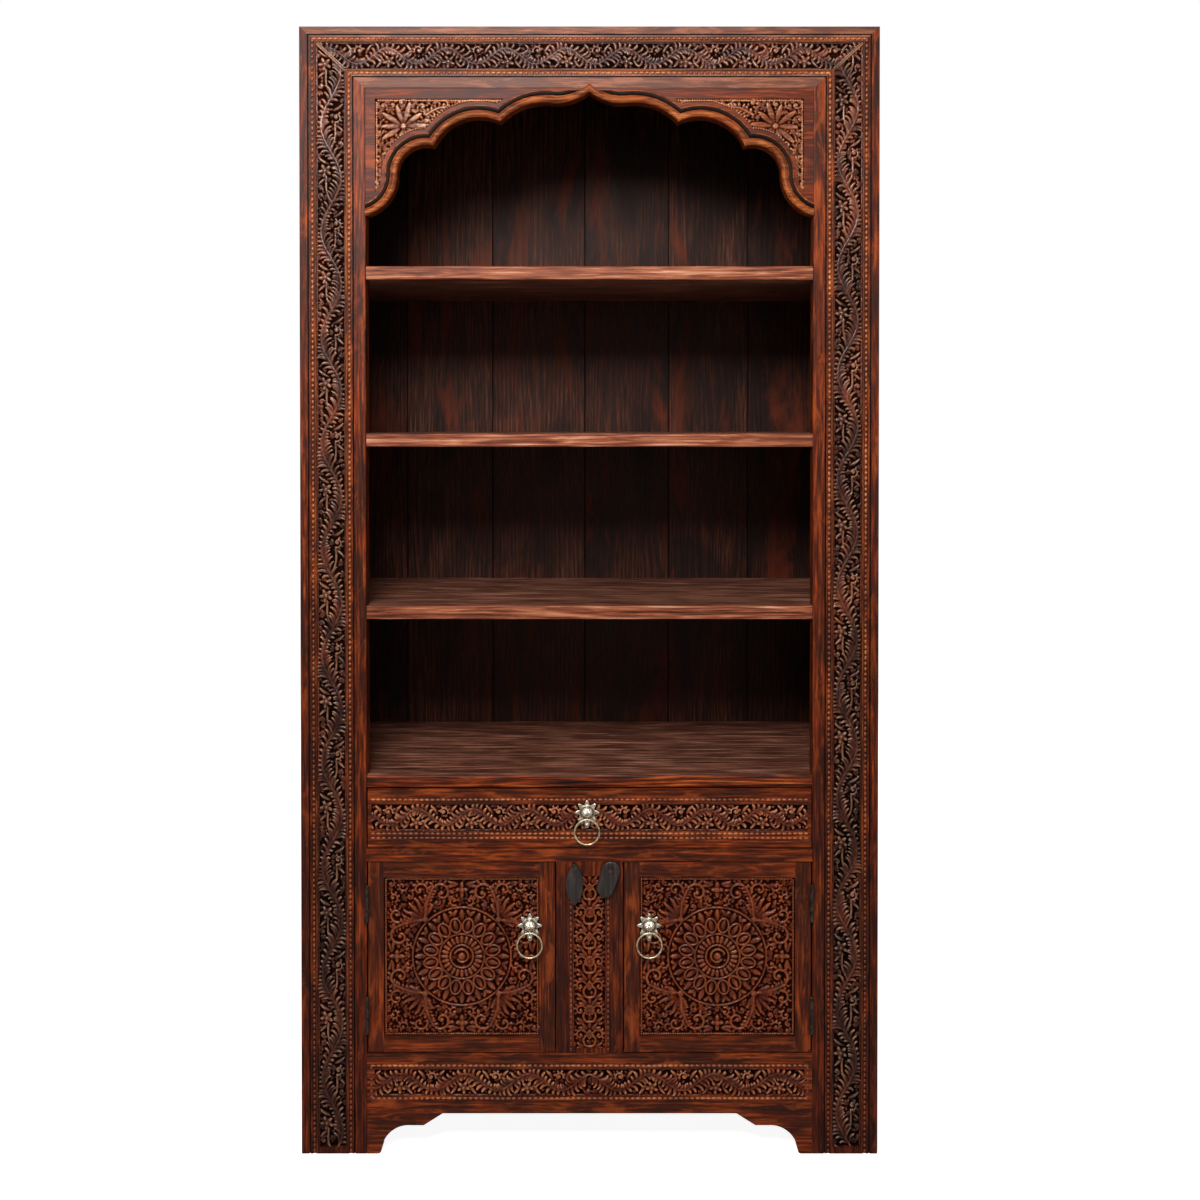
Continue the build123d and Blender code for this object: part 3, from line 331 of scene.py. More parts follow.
# shelves: dry and dusty brown on top, paler still along the front edge
shelfLook = dict(boardLook, **{
    "grainAxis": "X", "figureWidth": 8.0, "poreStretch": 40, "contrast": 2.6,
    "grainStops": ((0.15, "30190f"), (0.40, "5a3426"), (0.58, "80503f"), (0.75, "a4705b"), (0.92, "c69079")),
    "patchColour": "3a1f16", "patchAmount": 0.5, "rubAmount": 0.25, "rubColour": "ad7055",
    "frontEdge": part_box("shelf_upper")[0][1], "edgeReach": 2.5, "edgeFull": 0.5,
    "edgeStops": ((0.12, "2f130a"), (0.38, "6c3521"), (0.56, "935034"), (0.75, "b67453"), (0.92, "d8a083")),
})
woodLooks = {
    # waxed frame parts: bright orange streaks, darker towards the floor in painted shade
    "waxedRosewoodUpright": dict(boardLook, footShade="cabbb0"),
    "waxedRosewoodLevel": dict(boardLook, grainAxis="X"),
    # wide boards from the same logs: a calmer, broader figure
    "quietRosewoodSide": dict(boardLook, **{
        "contrast": 1.6, "figureWidth": 11.0, "patchWidth": 120.0, "rubAmount": 0.15,
        "footShade": "dcd2ca"}),
    "quietRosewoodArch": dict(boardLook, **{
        "grainAxis": "X", "contrast": 1.3, "figureShare": 0.35, "patchWidth": 70.0, "rubWidth": 40.0}),
    # door and foot parts, a little more even
    "evenRosewoodUpright": dict(boardLook, contrast=1.6, shift=3.1),
    "evenRosewoodLevel": dict(boardLook, contrast=1.6, shift=4.3, grainAxis="X"),
    # the head board, paler and greyer: a painted sheen of the light on it, with dust
    "dustAndSheenRosewood": dict(boardLook, **{
        "grainAxis": "X", "shift": 2.2, "patchColour": "5b3a30", "rubColour": "b06a4c",
        "grainStops": ((0.12, "2f1710"), (0.38, "5f3626"), (0.56, "84503a"), (0.75, "a66f57"),
                       (0.92, "cb9a84"))}),
    # unstained timber inside the drawer: plain yellow brown
    "plainDrawerTimber": dict(boardLook, **{
        "grainAxis": "Y", "contrast": 1.3, "figureWidth": 12.0, "patchWidth": 120.0, "rubAmount": 0.0,
        "grainStops": ((0.15, "32190d"), (0.40, "573019"), (0.60, "784627"), (0.88, "9c6840"))}),
    "rubbedShelfRosewood": shelfLook,
    "rubbedCounterRosewood": dict(shelfLook, **{
        "shift": 1.7, "frontEdge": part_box("counter_board")[0][1], "edgeStops": boardLook["grainStops"]}),
    "carvedRosewoodUpright": carvedLook,
    # drawer and base strips: deeper painted shade and dirt in the cuts, crests brighter with wear and a
    # painted highlight, where hands and feet pass
    "carvedRosewoodLevel": dict(carvedLook, **{
        "grainAxis": "X", "shineAmount": 0.75, "crestColour": "d08552", "shineTo": 0.82, "sheen": 0.42,
        "carvedStops": ((0.12, "231814"), (0.34, "594943"), (0.50, "aea098"), (0.66, "ffffff"))}),
    # spandrels: the wax has yellowed, so the flower looks golden
    "goldenRosewood": dict(carvedLook, **{
        "grainAxis": "X", "crestColour": "eaa873", "shineAmount": 0.65, "shineTo": 0.84,
        "grainStops": ((0.15, "4d200f"), (0.40, "7b3d1f"), (0.60, "9f5a33"), (0.88, "c78452")),
        "carvedStops": ((0.14, "271b15"), (0.36, "68574d"), (0.50, "c4b7ad"), (0.66, "ffffff"))}),
    "patinatedRosewoodUpright": patinaLook,
    "patinatedRosewoodLevel": dict(patinaLook, grainAxis="X"),
    # the roll round the arch, worn to a warm mid brown
    "wornRosewood": dict(boardLook, **{
        "grainAxis": "X", "ringShare": 0, "contrast": 2.2, "patchAmount": 0.5,
        "grainStops": ((0.15, "451b0b"), (0.40, "753313"), (0.60, "9f5224"), (0.88, "cc8348"))}),
    # beads lower on the stiles dimmer: painted shade
    "polishedBeadUpright": dict(beadLook, footShade="a98168"),
    "polishedBeadLevel": dict(beadLook, grainAxis="X"),
    # beads low on the base and drawer: the same wood darker and redder, painted shade
    "shadedBeadLow": dict(beadLook, **{
        "grainAxis": "X",
        "grainStops": ((0.15, "5c2410"), (0.40, "8a3f1d"), (0.60, "b0602f"), (0.88, "d89a68"))}),
    "wornFilletUpright": dict(filletLook, footShade="dccfc4"),
    "wornFilletLevel": dict(filletLook, grainAxis="X"),
    # grooves and seams: black, a painted shadow in them
    "shadowBlackRosewood": dict(boardLook, **{
        "grainStops": ((0.20, "060302"), (0.60, "140a07"), (0.90, "24120b")),
        "sheen": 0.05, "rubAmount": 0.0}),
    # ebonised turn buttons: black with a grey-brown rub and a hard shine
    "ebonisedWood": dict(boardLook, **{
        "grainStops": ((0.15, "0c0807"), (0.45, "1c1412"), (0.65, "302622"), (0.90, "5c4d46")),
        "patchAmount": 0.3, "patchColour": "140e0c", "poreWidth": 1.2, "figureWidth": 5.0,
        "rubColour": "66564e", "rubAmount": 0.3, "roughness": (0.25, 0.42), "sheen": 0.42}),
}
plankShades = (1.0, 1.3, 1.2, 1.05, 1.25, 0.95)  # each back plank took the stain differently
for number, shade in enumerate(plankShades, 1):
    stops = tuple((min(1.0, spot / shade), colour) for spot, colour in plankLook["grainStops"])
    woodLooks[f"stainedPlank{number}"] = dict(plankLook, shift=number * 1.3, grainStops=stops)
woods = {name: woodFinish(name, look) for name, look in woodLooks.items()}


# metals, mottled over a few mm by tarnish and pitted a little; blotch and pit are widths in mm
def metalFinish(name, look):
    material, tree = newMaterial(name)
    place = addNode(tree, "ShaderNodeTexCoord").outputs["Object"]
    cloud = addNode(tree, "ShaderNodeTexNoise", {
        "Scale": 1000.0 / look["blotch"], "Detail": 4, "Roughness": 0.6, "Distortion": 0.4},
        {"Vector": place}).outputs["Fac"]
    colour = addNode(tree, "ShaderNodeValToRGB", {
        "stops": ((0.35, look["dark"]), (0.65, look["bright"]))}, {"Fac": cloud})
    rough = addNode(tree, "ShaderNodeMapRange", {
        "To Min": look["roughness"][1], "To Max": look["roughness"][0]}, {"Value": cloud})
    pits = addNode(tree, "ShaderNodeTexNoise", {
        "Scale": 1000.0 / look["pit"], "Detail": 3, "Roughness": 0.6}, {"Vector": place})
    bump = addNode(tree, "ShaderNodeBump", {"Strength": look["bump"], "Distance": 0.2 * mm},
                   {"Height": pits.outputs["Fac"]})
    skin = addNode(tree, "ShaderNodeBsdfPrincipled", {"Metallic": look["metallic"]}, {
        "Base Color": colour.outputs[0], "Roughness": rough.outputs[0], "Normal": bump.outputs[0]})
    addNode(tree, "ShaderNodeOutputMaterial", links={"Surface": skin.outputs[0]})
    return material


metalLooks = {
    # wrought iron, blacked and rubbed: near black, dull, a little pitted
    "forgedIron": {"dark": "1b1614", "bright": "4a3c34", "blotch": 6, "pit": 1.2,
                   "roughness": (0.45, 0.7), "bump": 0.4, "metallic": 0.8},
    # cast nickel alloy, hand polished, warm white with tarnish in the hollows
    "antiqueNickel": {"dark": "8d7f6a", "bright": "dcd5c6", "blotch": 4, "pit": 1.0,
                      "roughness": (0.16, 0.36), "bump": 0.15, "metallic": 1.0},
    # drawn brass wire, rubbed to a soft pale yellow
    "rubbedBrass": {"dark": "8a7a58", "bright": "e2d6b4", "blotch": 5, "pit": 1.0,
                    "roughness": (0.2, 0.4), "bump": 0.1, "metallic": 1.0},
}
metals = {name: metalFinish(name, look) for name, look in metalLooks.items()}


def dressNode(nodeName, material):
    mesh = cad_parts[nodeName].data
    if not mesh.materials:
        mesh.materials.append(material)
    for index in range(len(mesh.materials)):
        mesh.materials[index] = material


nodeFinishes = {  # the first finish with a word of the node's name is the one it gets
    "quietRosewoodSide": ("side_panel",),
    "quietRosewoodArch": ("arch_panel",),
    "forgedIron": ("hinge_leaves", "hinge_pins", "hinge_screws", "button_screws"),
    "antiqueNickel": ("pull_plate", "pull_staple"),
    "rubbedBrass": ("pull_ring",),
    "ebonisedWood": ("turn_button",),
    "evenRosewoodUpright": ("hinge_stile", "lock_stile", "_panel"),
    "evenRosewoodLevel": ("top_rail", "bottom_rail", "bracket"),
    "waxedRosewoodUpright": ("surround_stile", "centre_post"),
    "dustAndSheenRosewood": ("surround_head",),
    "waxedRosewoodLevel": ("arch_", "mid_rail", "base_rail", "drawer_front", "top_board", "bottom_board",
                           "drawer_back"),
    "rubbedShelfRosewood": ("shelf",),
    "rubbedCounterRosewood": ("counter",),
    "plainDrawerTimber": ("drawer_runner", "drawer_side", "drawer_bottom"),
}
finishes = {**woods, **metals}
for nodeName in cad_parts:
    if nodeName.startswith("back_plank"):
        dressNode(nodeName, woods["stainedPlank" + nodeName[-1]])
    else:
        found = [name for name, words in nodeFinishes.items() if any(word in nodeName for word in words)]
        dressNode(nodeName, finishes[found[0]])
print("woods and metals ready")


# carving. A relief is worked out as heights in mm on a fine grid, from round-topped cuts laid along
# curves, and then turned into a solid slab that sits in the sunk field of its board.
def newField(x0, x1, z0, z1, step=1.0):
    columns = max(2, int(round((x1 - x0) / step))) + 1
    rows = max(2, int(round((z1 - z0) / step))) + 1
    return {"x": np.linspace(x0, x1, columns), "z": np.linspace(z0, z1, rows),
            "h": np.zeros((rows, columns))}


def press(field, strokes):  # raises a round-topped dot for each (x, z, radius, height)
    dots = np.concatenate(strokes)
    xs, zs, height = field["x"], field["z"], field["h"]
    dx, dz = xs[1] - xs[0], zs[1] - zs[0]
    for low, high in ((0, 2), (2, 4), (4, 9), (9, 20), (20, 60)):
        group = dots[(dots[:, 2] > low) & (dots[:, 2] <= high)]
        for part in range(0, len(group), 12000):
            some = group[part:part + 12000]
            reach = int(math.ceil(some[:, 2].max() / min(dx, dz))) + 1
            span = np.arange(-reach, reach + 1)
            columns = np.rint((some[:, 0] - xs[0]) / dx).astype(int)[:, None, None] + span[None, None, :]
            rows = np.rint((some[:, 1] - zs[0]) / dz).astype(int)[:, None, None] + span[None, :, None]
            away = (xs[0] + columns * dx - some[:, 0][:, None, None]) ** 2
            away = away + (zs[0] + rows * dz - some[:, 1][:, None, None]) ** 2
            dome = 1 - away / some[:, 2][:, None, None] ** 2
            columns, rows = np.broadcast_arrays(columns, rows)
            inside = (dome > 0) & (columns >= 0) & (columns < len(xs)) & (rows >= 0) & (rows < len(zs))
            rise = np.sqrt(np.clip(dome, 0, 1)) * some[:, 3][:, None, None]
            np.maximum.at(height, (rows[inside], columns[inside]), rise[inside])


def leaflet(x, z, angle, length, width, curl, height):  # one pointed, curved leaf
    count = max(6, int(length / 0.5))
    t = np.linspace(0, 1, count)
    heading = angle + curl * t ** 1.5
    radius = width / 2 * np.sin(np.pi * np.clip(t, 0.03, 0.985) ** 0.95) ** 0.6 + 0.2
    px = x + np.cumsum(np.cos(heading)) * length / count
    pz = z + np.cumsum(np.sin(heading)) * length / count
    return np.column_stack((px, pz, radius, height * (0.5 + 0.5 * t ** 0.6)))


def bar(points, width, height, taper=0.0):  # a rounded stem along a curve
    points = np.asarray(points, float)
    gaps = np.hypot(*np.diff(points, axis=0).T)
    along = np.concatenate(([0], np.cumsum(gaps)))
    steps = np.linspace(0, along[-1], max(3, int(along[-1] / 0.6)))
    px, pz = np.interp(steps, along, points[:, 0]), np.interp(steps, along, points[:, 1])
    radius = width / 2 * (1 - taper * steps / along[-1])
    return np.column_stack((px, pz, radius, np.full(len(steps), float(height))))


def dot(x, z, radius, height):
    return np.array([[x, z, radius, height]], float)


def arcPoints(x, z, radius, start, sweep, count=40, shrink=0.0):  # part of a circle, or a spiral
    t = np.linspace(0, 1, count)
    angle = start + sweep * t
    r = radius * (1 - shrink * t)
    return np.column_stack((x + r * np.cos(angle), z + r * np.sin(angle)))


def curve(points, count=60):  # smooth line through a few points
    points = np.asarray(points, float)
    padded = np.vstack((2 * points[0] - points[1], points, 2 * points[-1] - points[-2]))
    out = []
    for i in range(len(points) - 1):
        a, b, c, d = padded[i:i + 4]
        t = np.linspace(0, 1, max(4, count // (len(points) - 1)))[:, None]
        out.append(0.5 * (2 * b + (c - a) * t + (2 * a - 5 * b + 4 * c - d) * t ** 2
                          + (3 * b - a - 3 * c + d) * t ** 3))
    return np.vstack(out)


def combAlong(points, pitch, reach, spread, curl, width, height, rng, sides=(-1, 1), skip=0.0):
    # leaflets down both sides of a stem; reach(x, z, side) gives their length
    points = np.asarray(points, float)
    along = np.concatenate(([0], np.cumsum(np.hypot(*np.diff(points, axis=0).T))))
    strokes = []
    place = skip + pitch * 0.5
    while place < along[-1] - 1:
        x, z = np.interp(place, along, points[:, 0]), np.interp(place, along, points[:, 1])
        ahead = np.interp(place + 0.6, along, points[:, 0]), np.interp(place + 0.6, along, points[:, 1])
        heading = math.atan2(ahead[1] - z, ahead[0] - x)
        for side in sides:
            length = reach(x, z, side) * rng.uniform(0.85, 1.05)
            if length > 2.5:
                strokes.append(leaflet(x, z, heading + side * (spread + rng.uniform(-0.1, 0.12)), length,
                                       width * rng.uniform(0.85, 1.15), side * curl,
                                       height * rng.uniform(0.85, 1.05)))
        place += pitch * rng.uniform(0.88, 1.12)
    return strokes


def scrollLeaf(x, z, radius, start, hand, rng, height=4.2):  # a curling stem with leaves down its outer side
    coil = arcPoints(x, z, radius, start, hand * 5.2, 50, 0.72)
    strokes = [bar(coil, max(2.4, radius * 0.27), height, 0.25),
               dot(x, z, max(2.0, radius * 0.24), height * 1.08)]
    strokes += combAlong(coil[:34], max(4.6, radius * 0.42), lambda a, c, side: radius * 0.72, 0.5, 0.9,
                         max(3.6, radius * 0.36), height * 0.95, rng, sides=(-hand,))
    return strokes


def sprig(x, z, size, rng):  # small filling: a curl, a spray of leaves, a leaf or a bud
    turn = rng.uniform(0, 2 * math.pi)
    hand = rng.choice((-1, 1))
    if size > 5.4:
        return [bar(arcPoints(x, z, size * 0.72, turn, hand * 4.6, 26, 0.7), 2.6, 3.9), dot(x, z, 2.0, 4.2),
                leaflet(x + size * 0.8 * math.cos(turn), z + size * 0.8 * math.sin(turn), turn - hand * 1.3,
                        size * 0.9, 2.8, -hand * 0.8, 3.8)]
    if size > 3.4:
        return [leaflet(x - math.cos(turn) * size * 0.8, z - math.sin(turn) * size * 0.8, turn + k,
                        size * 1.75, size * 0.62, hand * 0.7, 3.7) for k in (-0.62, 0.0, 0.62)]
    return [leaflet(x - math.cos(turn) * size * 0.9, z - math.sin(turn) * size * 0.9, turn, size * 1.9,
                    min(3.0, size * 1.15), hand * 0.7, 3.3)]


def fillGround(field, rng, sizes=(6.6, 4.8, 3.5, 2.5), tries=2400, mask=None, rise=0.82):
    # small sprigs wherever the ground is still bare, the largest first
    xs, zs, height = field["x"], field["z"], field["h"]
    dx, dz = xs[1] - xs[0], zs[1] - zs[0]
    for size in sizes:
        reach = int(size * 0.92 / dx)
        count = int(tries * len(xs) * len(zs) / 60000) + 60
        picks = rng.uniform((xs[0] + size, zs[0] + size), (xs[-1] - size, zs[-1] - size), (count, 2))
        for x, z in picks:
            column, row = int((x - xs[0]) / dx), int((z - zs[0]) / dz)
            window = height[max(0, row - reach):row + reach + 1, max(0, column - reach):column + reach + 1]
            if window.max() < 1.0 and (mask is None or mask(x, z, size)):
                press(field, [stroke * (1, 1, 1.15, rise) for stroke in sprig(x, z, size, rng)])


def vine(length, half, style, rng):
    # A stem that swings from side to side, combs of leaves on both sides of it and a flower or curl in
    # each bay. Local axes: first along the band, second across it.
    period, swing, phase = style["period"], style["swing"] * half, style["phase"]
    along = np.arange(0, length, 1.0)
    wave = swing * np.sin(2 * np.pi * along / period + phase)
    stem = np.column_stack((along, wave))
    strokes = [bar(stem, style["stemWidth"], style["stemHeight"])]
    firstBay = (math.pi / 2 - phase) * period / (2 * math.pi)
    bays = []
    for number in range(math.floor(-firstBay / (period / 2)) - 1, int(length / (period / 2)) + 3):
        middle = firstBay + number * period / 2
        side = -1 if math.sin(2 * math.pi * middle / period + phase) > 0 else 1
        if -period * style["firstBay"] < middle < length + period / 2:
            motif = (middle + style["bayShift"] * period, side * half * style["bayAcross"])
            bays.append((number, middle, side, motif))

    def room(a, c, side):  # how long a leaf may be here before it meets the edge or a flower
        reach = min((half - 0.8 - side * c) / 0.78, style["leafLength"])
        for number, middle, baySide, (x, z) in bays:
            if baySide == side and abs(x - a) < period * 0.3:
                clear = style["motif"] * (1.0 if number % 2 else 0.8)
                reach = min(reach, max(3.5, math.hypot(x - a, z - c) - clear))
        return max(0.0, reach)

    strokes += combAlong(stem, style["pitch"], room, style["spread"], style["curl"],
                         style["leafWidth"], style["leafHeight"], rng)
    for number, middle, side, (x, z) in bays:
        size = style["motif"]
        lead = curve([(middle - period * 0.24, -side * half * 0.1),
                      (middle - period * 0.12, side * half * 0.3),
                      (x - size * 0.8, z - side * size * 0.2)], 20)
        strokes.append(bar(lead, style["stemWidth"] * 0.9, style["stemHeight"]))
        if number % 2:  # a curl round a bud
            strokes += scrollLeaf(x, z, size * 0.72, math.pi * (1.1 if side > 0 else 0.9), -side, rng)
            strokes.append(dot(x, z, size * 0.28, 4.8))
        else:  # an open flower
            strokes += [leaflet(x, z, k * 1.2566 + side * 0.5, size * 0.92, size * 0.52, 0.2, 4.4)
                        for k in range(5)]
            strokes.append(dot(x, z, size * 0.26, 4.9))
        for away in (-1, 1):
            strokes.append(leaflet(x + away * size, side * half * 0.15, side * (math.pi / 2 - away * 0.35),
                                   half * 0.85, style["leafWidth"], -side * away * 0.6, 4.1))
    return strokes


def laidAt(strokes, x, z, signX=1, signZ=1, swapped=False):
    # local strokes, turned over and moved to their place on the board
    out = []
    for stroke in strokes:
        moved = stroke.copy()
        first, second = (stroke[:, 1], stroke[:, 0]) if swapped else (stroke[:, 0], stroke[:, 1])
        moved[:, 0], moved[:, 1] = x + signX * first, z + signZ * second
        out.append(moved)
    return out


def edging(lines):  # a low round strip along each straight line, to close the edge of a field
    return [bar(line, 1.8, 3.0) for line in lines]


def dotRow(places, level, radius, height, upright=False):
    return [dot(level, t, radius, height) if upright else dot(t, level, radius, height) for t in places]


def turnOver(field):  # the same carving for the other hand
    field["x"] = -field["x"][::-1]
    for key in ("h", "crest"):
        field[key] = field[key][:, ::-1]


def blurred(values, reach):  # mean over a square that reaches this many cells each way
    padded = np.pad(values, reach, mode="edge")
    for axis in (0, 1):
        total = np.cumsum(padded, axis=axis)
        total = np.insert(total, 0, 0, axis=axis)
        width = 2 * reach + 1
        size = padded.shape[axis]
        upper = np.take(total, range(width, size + 1), axis=axis)
        lower = np.take(total, range(0, size + 1 - width), axis=axis)
        padded = (upper - lower) / width
    return padded


def finishField(field, ground, top, rng, plump=0.9, toolMarks=0.125):
    # fattens the leaves, caps the crests, leaves tool marks, and notes how proud or hollow each spot is
    height = np.minimum(field["h"], top)
    wider = height.copy()
    for axis in (0, 1):
        for step in (-1, 1):
            wider = np.maximum(wider, np.roll(height, step, axis=axis))
    height = height + (wider - height) * plump
    height = height * 0.8 + blurred(height, 1) * 0.2
    rough = blurred(rng.normal(0, 1, height.shape), 2)
    rough = rough / max(rough.std(), 1e-6) * toolMarks
    height = np.clip(height + ground + rough * 0.8, 0.15, top + ground)
    near, wide = blurred(height, 2), blurred(height, 5)
    crest = 0.45 + (height - near) * 0.13 + (height - wide) * 0.08 + (height - ground - top * 0.5) * 0.07
    field["h"], field["crest"] = height, np.clip(crest, 0, 1)


def sample(field, values, x, z):  # the value between four grid points
    fx = np.clip((x - field["x"][0]) / (field["x"][1] - field["x"][0]), 0, len(field["x"]) - 1.001)
    fz = np.clip((z - field["z"][0]) / (field["z"][1] - field["z"][0]), 0, len(field["z"]) - 1.001)
    i, j = fx.astype(int), fz.astype(int)
    u, v = fx - i, fz - j
    return ((values[j, i] * (1 - u) + values[j, i + 1] * u) * (1 - v)
            + (values[j + 1, i] * (1 - u) + values[j + 1, i + 1] * u) * v)


def carvedSlab(name, field, columns, low, high, floorPlane, backPlane, material, body, upright=True,
               step=1.0):
    # A closed slab. Each column of the grid runs from low to high, upright or level; the heights stand
    # forward of floorPlane, and the back is flat.
    low, high = np.broadcast_to(low, columns.shape), np.broadcast_to(high, columns.shape)
    rows = max(2, int(round((high - low).max() / step)))
    run = low + (high - low) * np.linspace(0, 1, rows + 1)[:, None]
    across = np.broadcast_to(columns, run.shape)
    x, z = (across, run) if upright else (run, across)
    y = floorPlane - sample(field, field["h"], x, z)
    front = np.stack((x, y, z), -1).reshape(-1, 3)
    index = np.arange(run.size).reshape(run.shape)
    ring = np.concatenate((index[0, :], index[1:, -1], index[-1, -2::-1], index[-2:0:-1, 0]))
    behind = front[ring].copy()
    behind[:, 1] = backPlane
    backOf = {int(v): len(front) + k for k, v in enumerate(ring)}
    quads = np.stack((index[:-1, :-1], index[:-1, 1:], index[1:, 1:], index[1:, :-1]), -1).reshape(-1, 4)
    faces = quads.tolist()
    for a, b in zip(ring, np.roll(ring, -1)):
        faces.append([int(b), int(a), backOf[int(a)], backOf[int(b)]])
    last = run.shape[1] - 2
    for i in range(last + 1):
        face = [backOf[int(index[0, i])]]
        if i == 0:
            face += [backOf[int(v)] for v in index[1:-1, 0]]
        face += [backOf[int(index[-1, i])], backOf[int(index[-1, i + 1])]]
        if i == last:
            face += [backOf[int(v)] for v in index[-2:0:-1, -1]]
        face.append(backOf[int(index[0, i + 1])])
        faces.append(face)
    if not upright:
        faces = [face[::-1] for face in faces]
    piece = newPiece(name, np.vstack((front, behind)), faces, material, body, 65)
    crest = piece.data.attributes.new("crest", "FLOAT", "POINT")
    values = np.concatenate((sample(field, field["crest"], x, z).ravel(), np.full(len(behind), 0.3)))
    crest.data.foreach_set("value", values.astype(np.float32))
    return piece


# front frame, from its boards: the flat face, the sunk band for the carving and the mitres of the head
frontFrame = {
    "sunkDepth": 5.0, "bandFromEdge": 27.6, "bandToEdge": 73.8, "bandFoot": 11.0, "bandHead": 1806.0,
}
headLow, headHigh = boxOf("surround_head")
halfWidth, wholeHeight, faceY = headHigh[0], headHigh[2], headLow[1]
stileWidth = halfWidth - boxOf("surround_stile_right")[0][0]
mitreSlope = (wholeHeight - headLow[2]) / stileWidth
sunkY = faceY + frontFrame["sunkDepth"]
bandOuter, bandInner = halfWidth - frontFrame["bandFromEdge"], halfWidth - frontFrame["bandToEdge"]
bandHalf, bandMiddle = (bandOuter - bandInner) / 2, (bandOuter + bandInner) / 2
slack = 0.05  # mm left free round each slab in its sunk field
pullPlaces = {"drawer": (-4.0, 557.4), "left": (-97.0, 373.2), "right": (97.0, 373.2)}


def mitreLine(x):  # the joint between stile and head
    return wholeHeight - (halfWidth - np.abs(x)) * mitreSlope


# stiles: a swinging stem with comb-like rows of long leaflets; the right one starts at another place
stileCarving = {
    "length": 1800.0, "period": 172.0, "swing": 0.72, "phase": 0.6, "rightPhase": 2.1,
    "pitch": 7.2, "leafLength": 25.0, "leafWidth": 4.3, "leafHeight": 4.4, "spread": 0.32, "curl": 1.35,
    "stemWidth": 2.9, "stemHeight": 3.7,
    "motif": 11.0, "bayShift": 0.07, "bayAcross": 0.42, "firstBay": 0.25,
}
for side, hand, seed, shift in (("left", -1, 11, 0), ("right", 1, 23, stileCarving["rightPhase"])):
    rng = np.random.default_rng(seed)
    style = dict(stileCarving, phase=stileCarving["phase"] + shift)
    first, last = sorted((hand * bandOuter, hand * bandInner))
    foot, head = frontFrame["bandFoot"], frontFrame["bandHead"]
    field = newField(first, last, foot, head)
    leaves = vine(stileCarving["length"], bandHalf - 0.6, style, rng)
    press(field, laidAt(leaves, hand * bandMiddle, foot, swapped=True))
    fillGround(field, rng)
    field["h"][field["z"][:, None] > mitreLine(field["x"])[None, :] - 4.0] = 0
    mitre = [(hand * x, mitreLine(x) - 2.0) for x in (bandOuter, bandInner)]
    press(field, [bar(mitre, 3.0, 4.2)])
    press(field, edging([((x, foot), (x, head)) for x in (first + 0.6, last - 0.6)]))
    finishField(field, 0.5, 4.4, rng)
    columns = np.linspace(first + slack, last - slack, 47)
    carvedSlab(f"stileCarving_{side}", field, columns, foot + slack, mitreLine(columns) - 0.06, sunkY, sunkY,
               woods["patinatedRosewoodUpright"], "cabinet")
print("stiles carved")

# head: rolling scrolls
headCarving = {
    "half": 442.0, "period": 96.0, "swing": 0.62, "phase": 0.3,
    "pitch": 7.0, "leafLength": 19.0, "leafWidth": 5.0, "leafHeight": 4.5, "spread": 0.5, "curl": 1.45,
    "stemWidth": 2.2, "stemHeight": 3.6,
    "motif": 10.5, "bayShift": 0.03, "bayAcross": 0.42, "firstBay": 0.05,
}
rng = np.random.default_rng(5)
headTop = wholeHeight - frontFrame["bandFromEdge"] * mitreSlope
headFoot = wholeHeight - frontFrame["bandToEdge"] * mitreSlope
half = headCarving["half"]
field = newField(-half, half, headFoot, headTop)
leaves = vine(2 * half, (headTop - headFoot) / 2 - 0.6, headCarving, rng)
press(field, laidAt(leaves, -half, (headTop + headFoot) / 2))
fillGround(field, rng)
field["h"][field["z"][:, None] < mitreLine(field["x"])[None, :] + 4.0] = 0
press(field, [bar([(hand * bandOuter, headTop + 2.0), (hand * bandInner, headFoot + 2.0)], 3.0, 4.2)
              for hand in (-1, 1)])
press(field, edging([((1 - half, z), (half - 1, z)) for z in (headTop - 0.6, headFoot + 0.6)]))
finishField(field, 0.5, 4.4, rng)
levels = np.linspace(headFoot + slack, headTop - slack, 44)
reach = halfWidth - (wholeHeight - levels) / mitreSlope - 0.06
carvedSlab("headCarving", field, levels, -reach, reach, sunkY, sunkY, woods["patinatedRosewoodLevel"],
           "cabinet", False)
print("head carved")


# base rail, drawer front: scrolls with leafy branches, round a bare spot where a pull is
def carvedStrip(name, body, nodeName, design, bareSpot=None):
    rng = np.random.default_rng(design["seed"])
    boardLow, boardHigh = boxOf(nodeName)
    z1 = round(boardHigh[2] - design["fromTop"], 2)
    z0 = round(z1 - design["tall"], 2)
    x1 = design["half"]
    field = newField(-x1, x1, z0, z1)
    strokes = []
    for hand in (-1, 1):  # the vine runs outwards both ways from the middle
        strokes += laidAt(vine(x1, (z1 - z0) / 2 - 0.6, design, rng), 0.0, (z0 + z1) / 2, hand)
    press(field, strokes)
    if bareSpot:
        away = (field["x"][None, :] - bareSpot[0]) ** 2 + (field["z"][:, None] - bareSpot[1]) ** 2
        field["h"][away < design["bareRadius"] ** 2] = 0
    fillGround(field, rng)
    press(field, edging([((-x1, z), (x1, z)) for z in (z0 + 0.6, z1 - 0.6)]))
    finishField(field, 0.5, 4.3, rng)
    floorPlane = boardLow[1] + frontFrame["sunkDepth"]
    columns = np.linspace(slack - x1, x1 - slack, int(2 * x1) + 1)
    carvedSlab(name, field, columns, z0 + slack, z1 - slack, floorPlane, floorPlane,
               woods["carvedRosewoodLevel"], body)


baseCarving = dict(headCarving, seed=31, half=350.0, fromTop=26.0, tall=44.6, period=104.0, phase=1.9)
drawerCarving = dict(headCarving, seed=37, half=354.4, fromTop=24.3, tall=44.4, period=90.0, phase=0.9,
                     leafLength=16.0, bareRadius=16.0)
carvedStrip("baseCarving", "cabinet", "base_rail", baseCarving)
carvedStrip("drawerCarving", "drawer", "drawer_front", drawerCarving, pullPlaces["drawer"])
print("drawer and base carved")


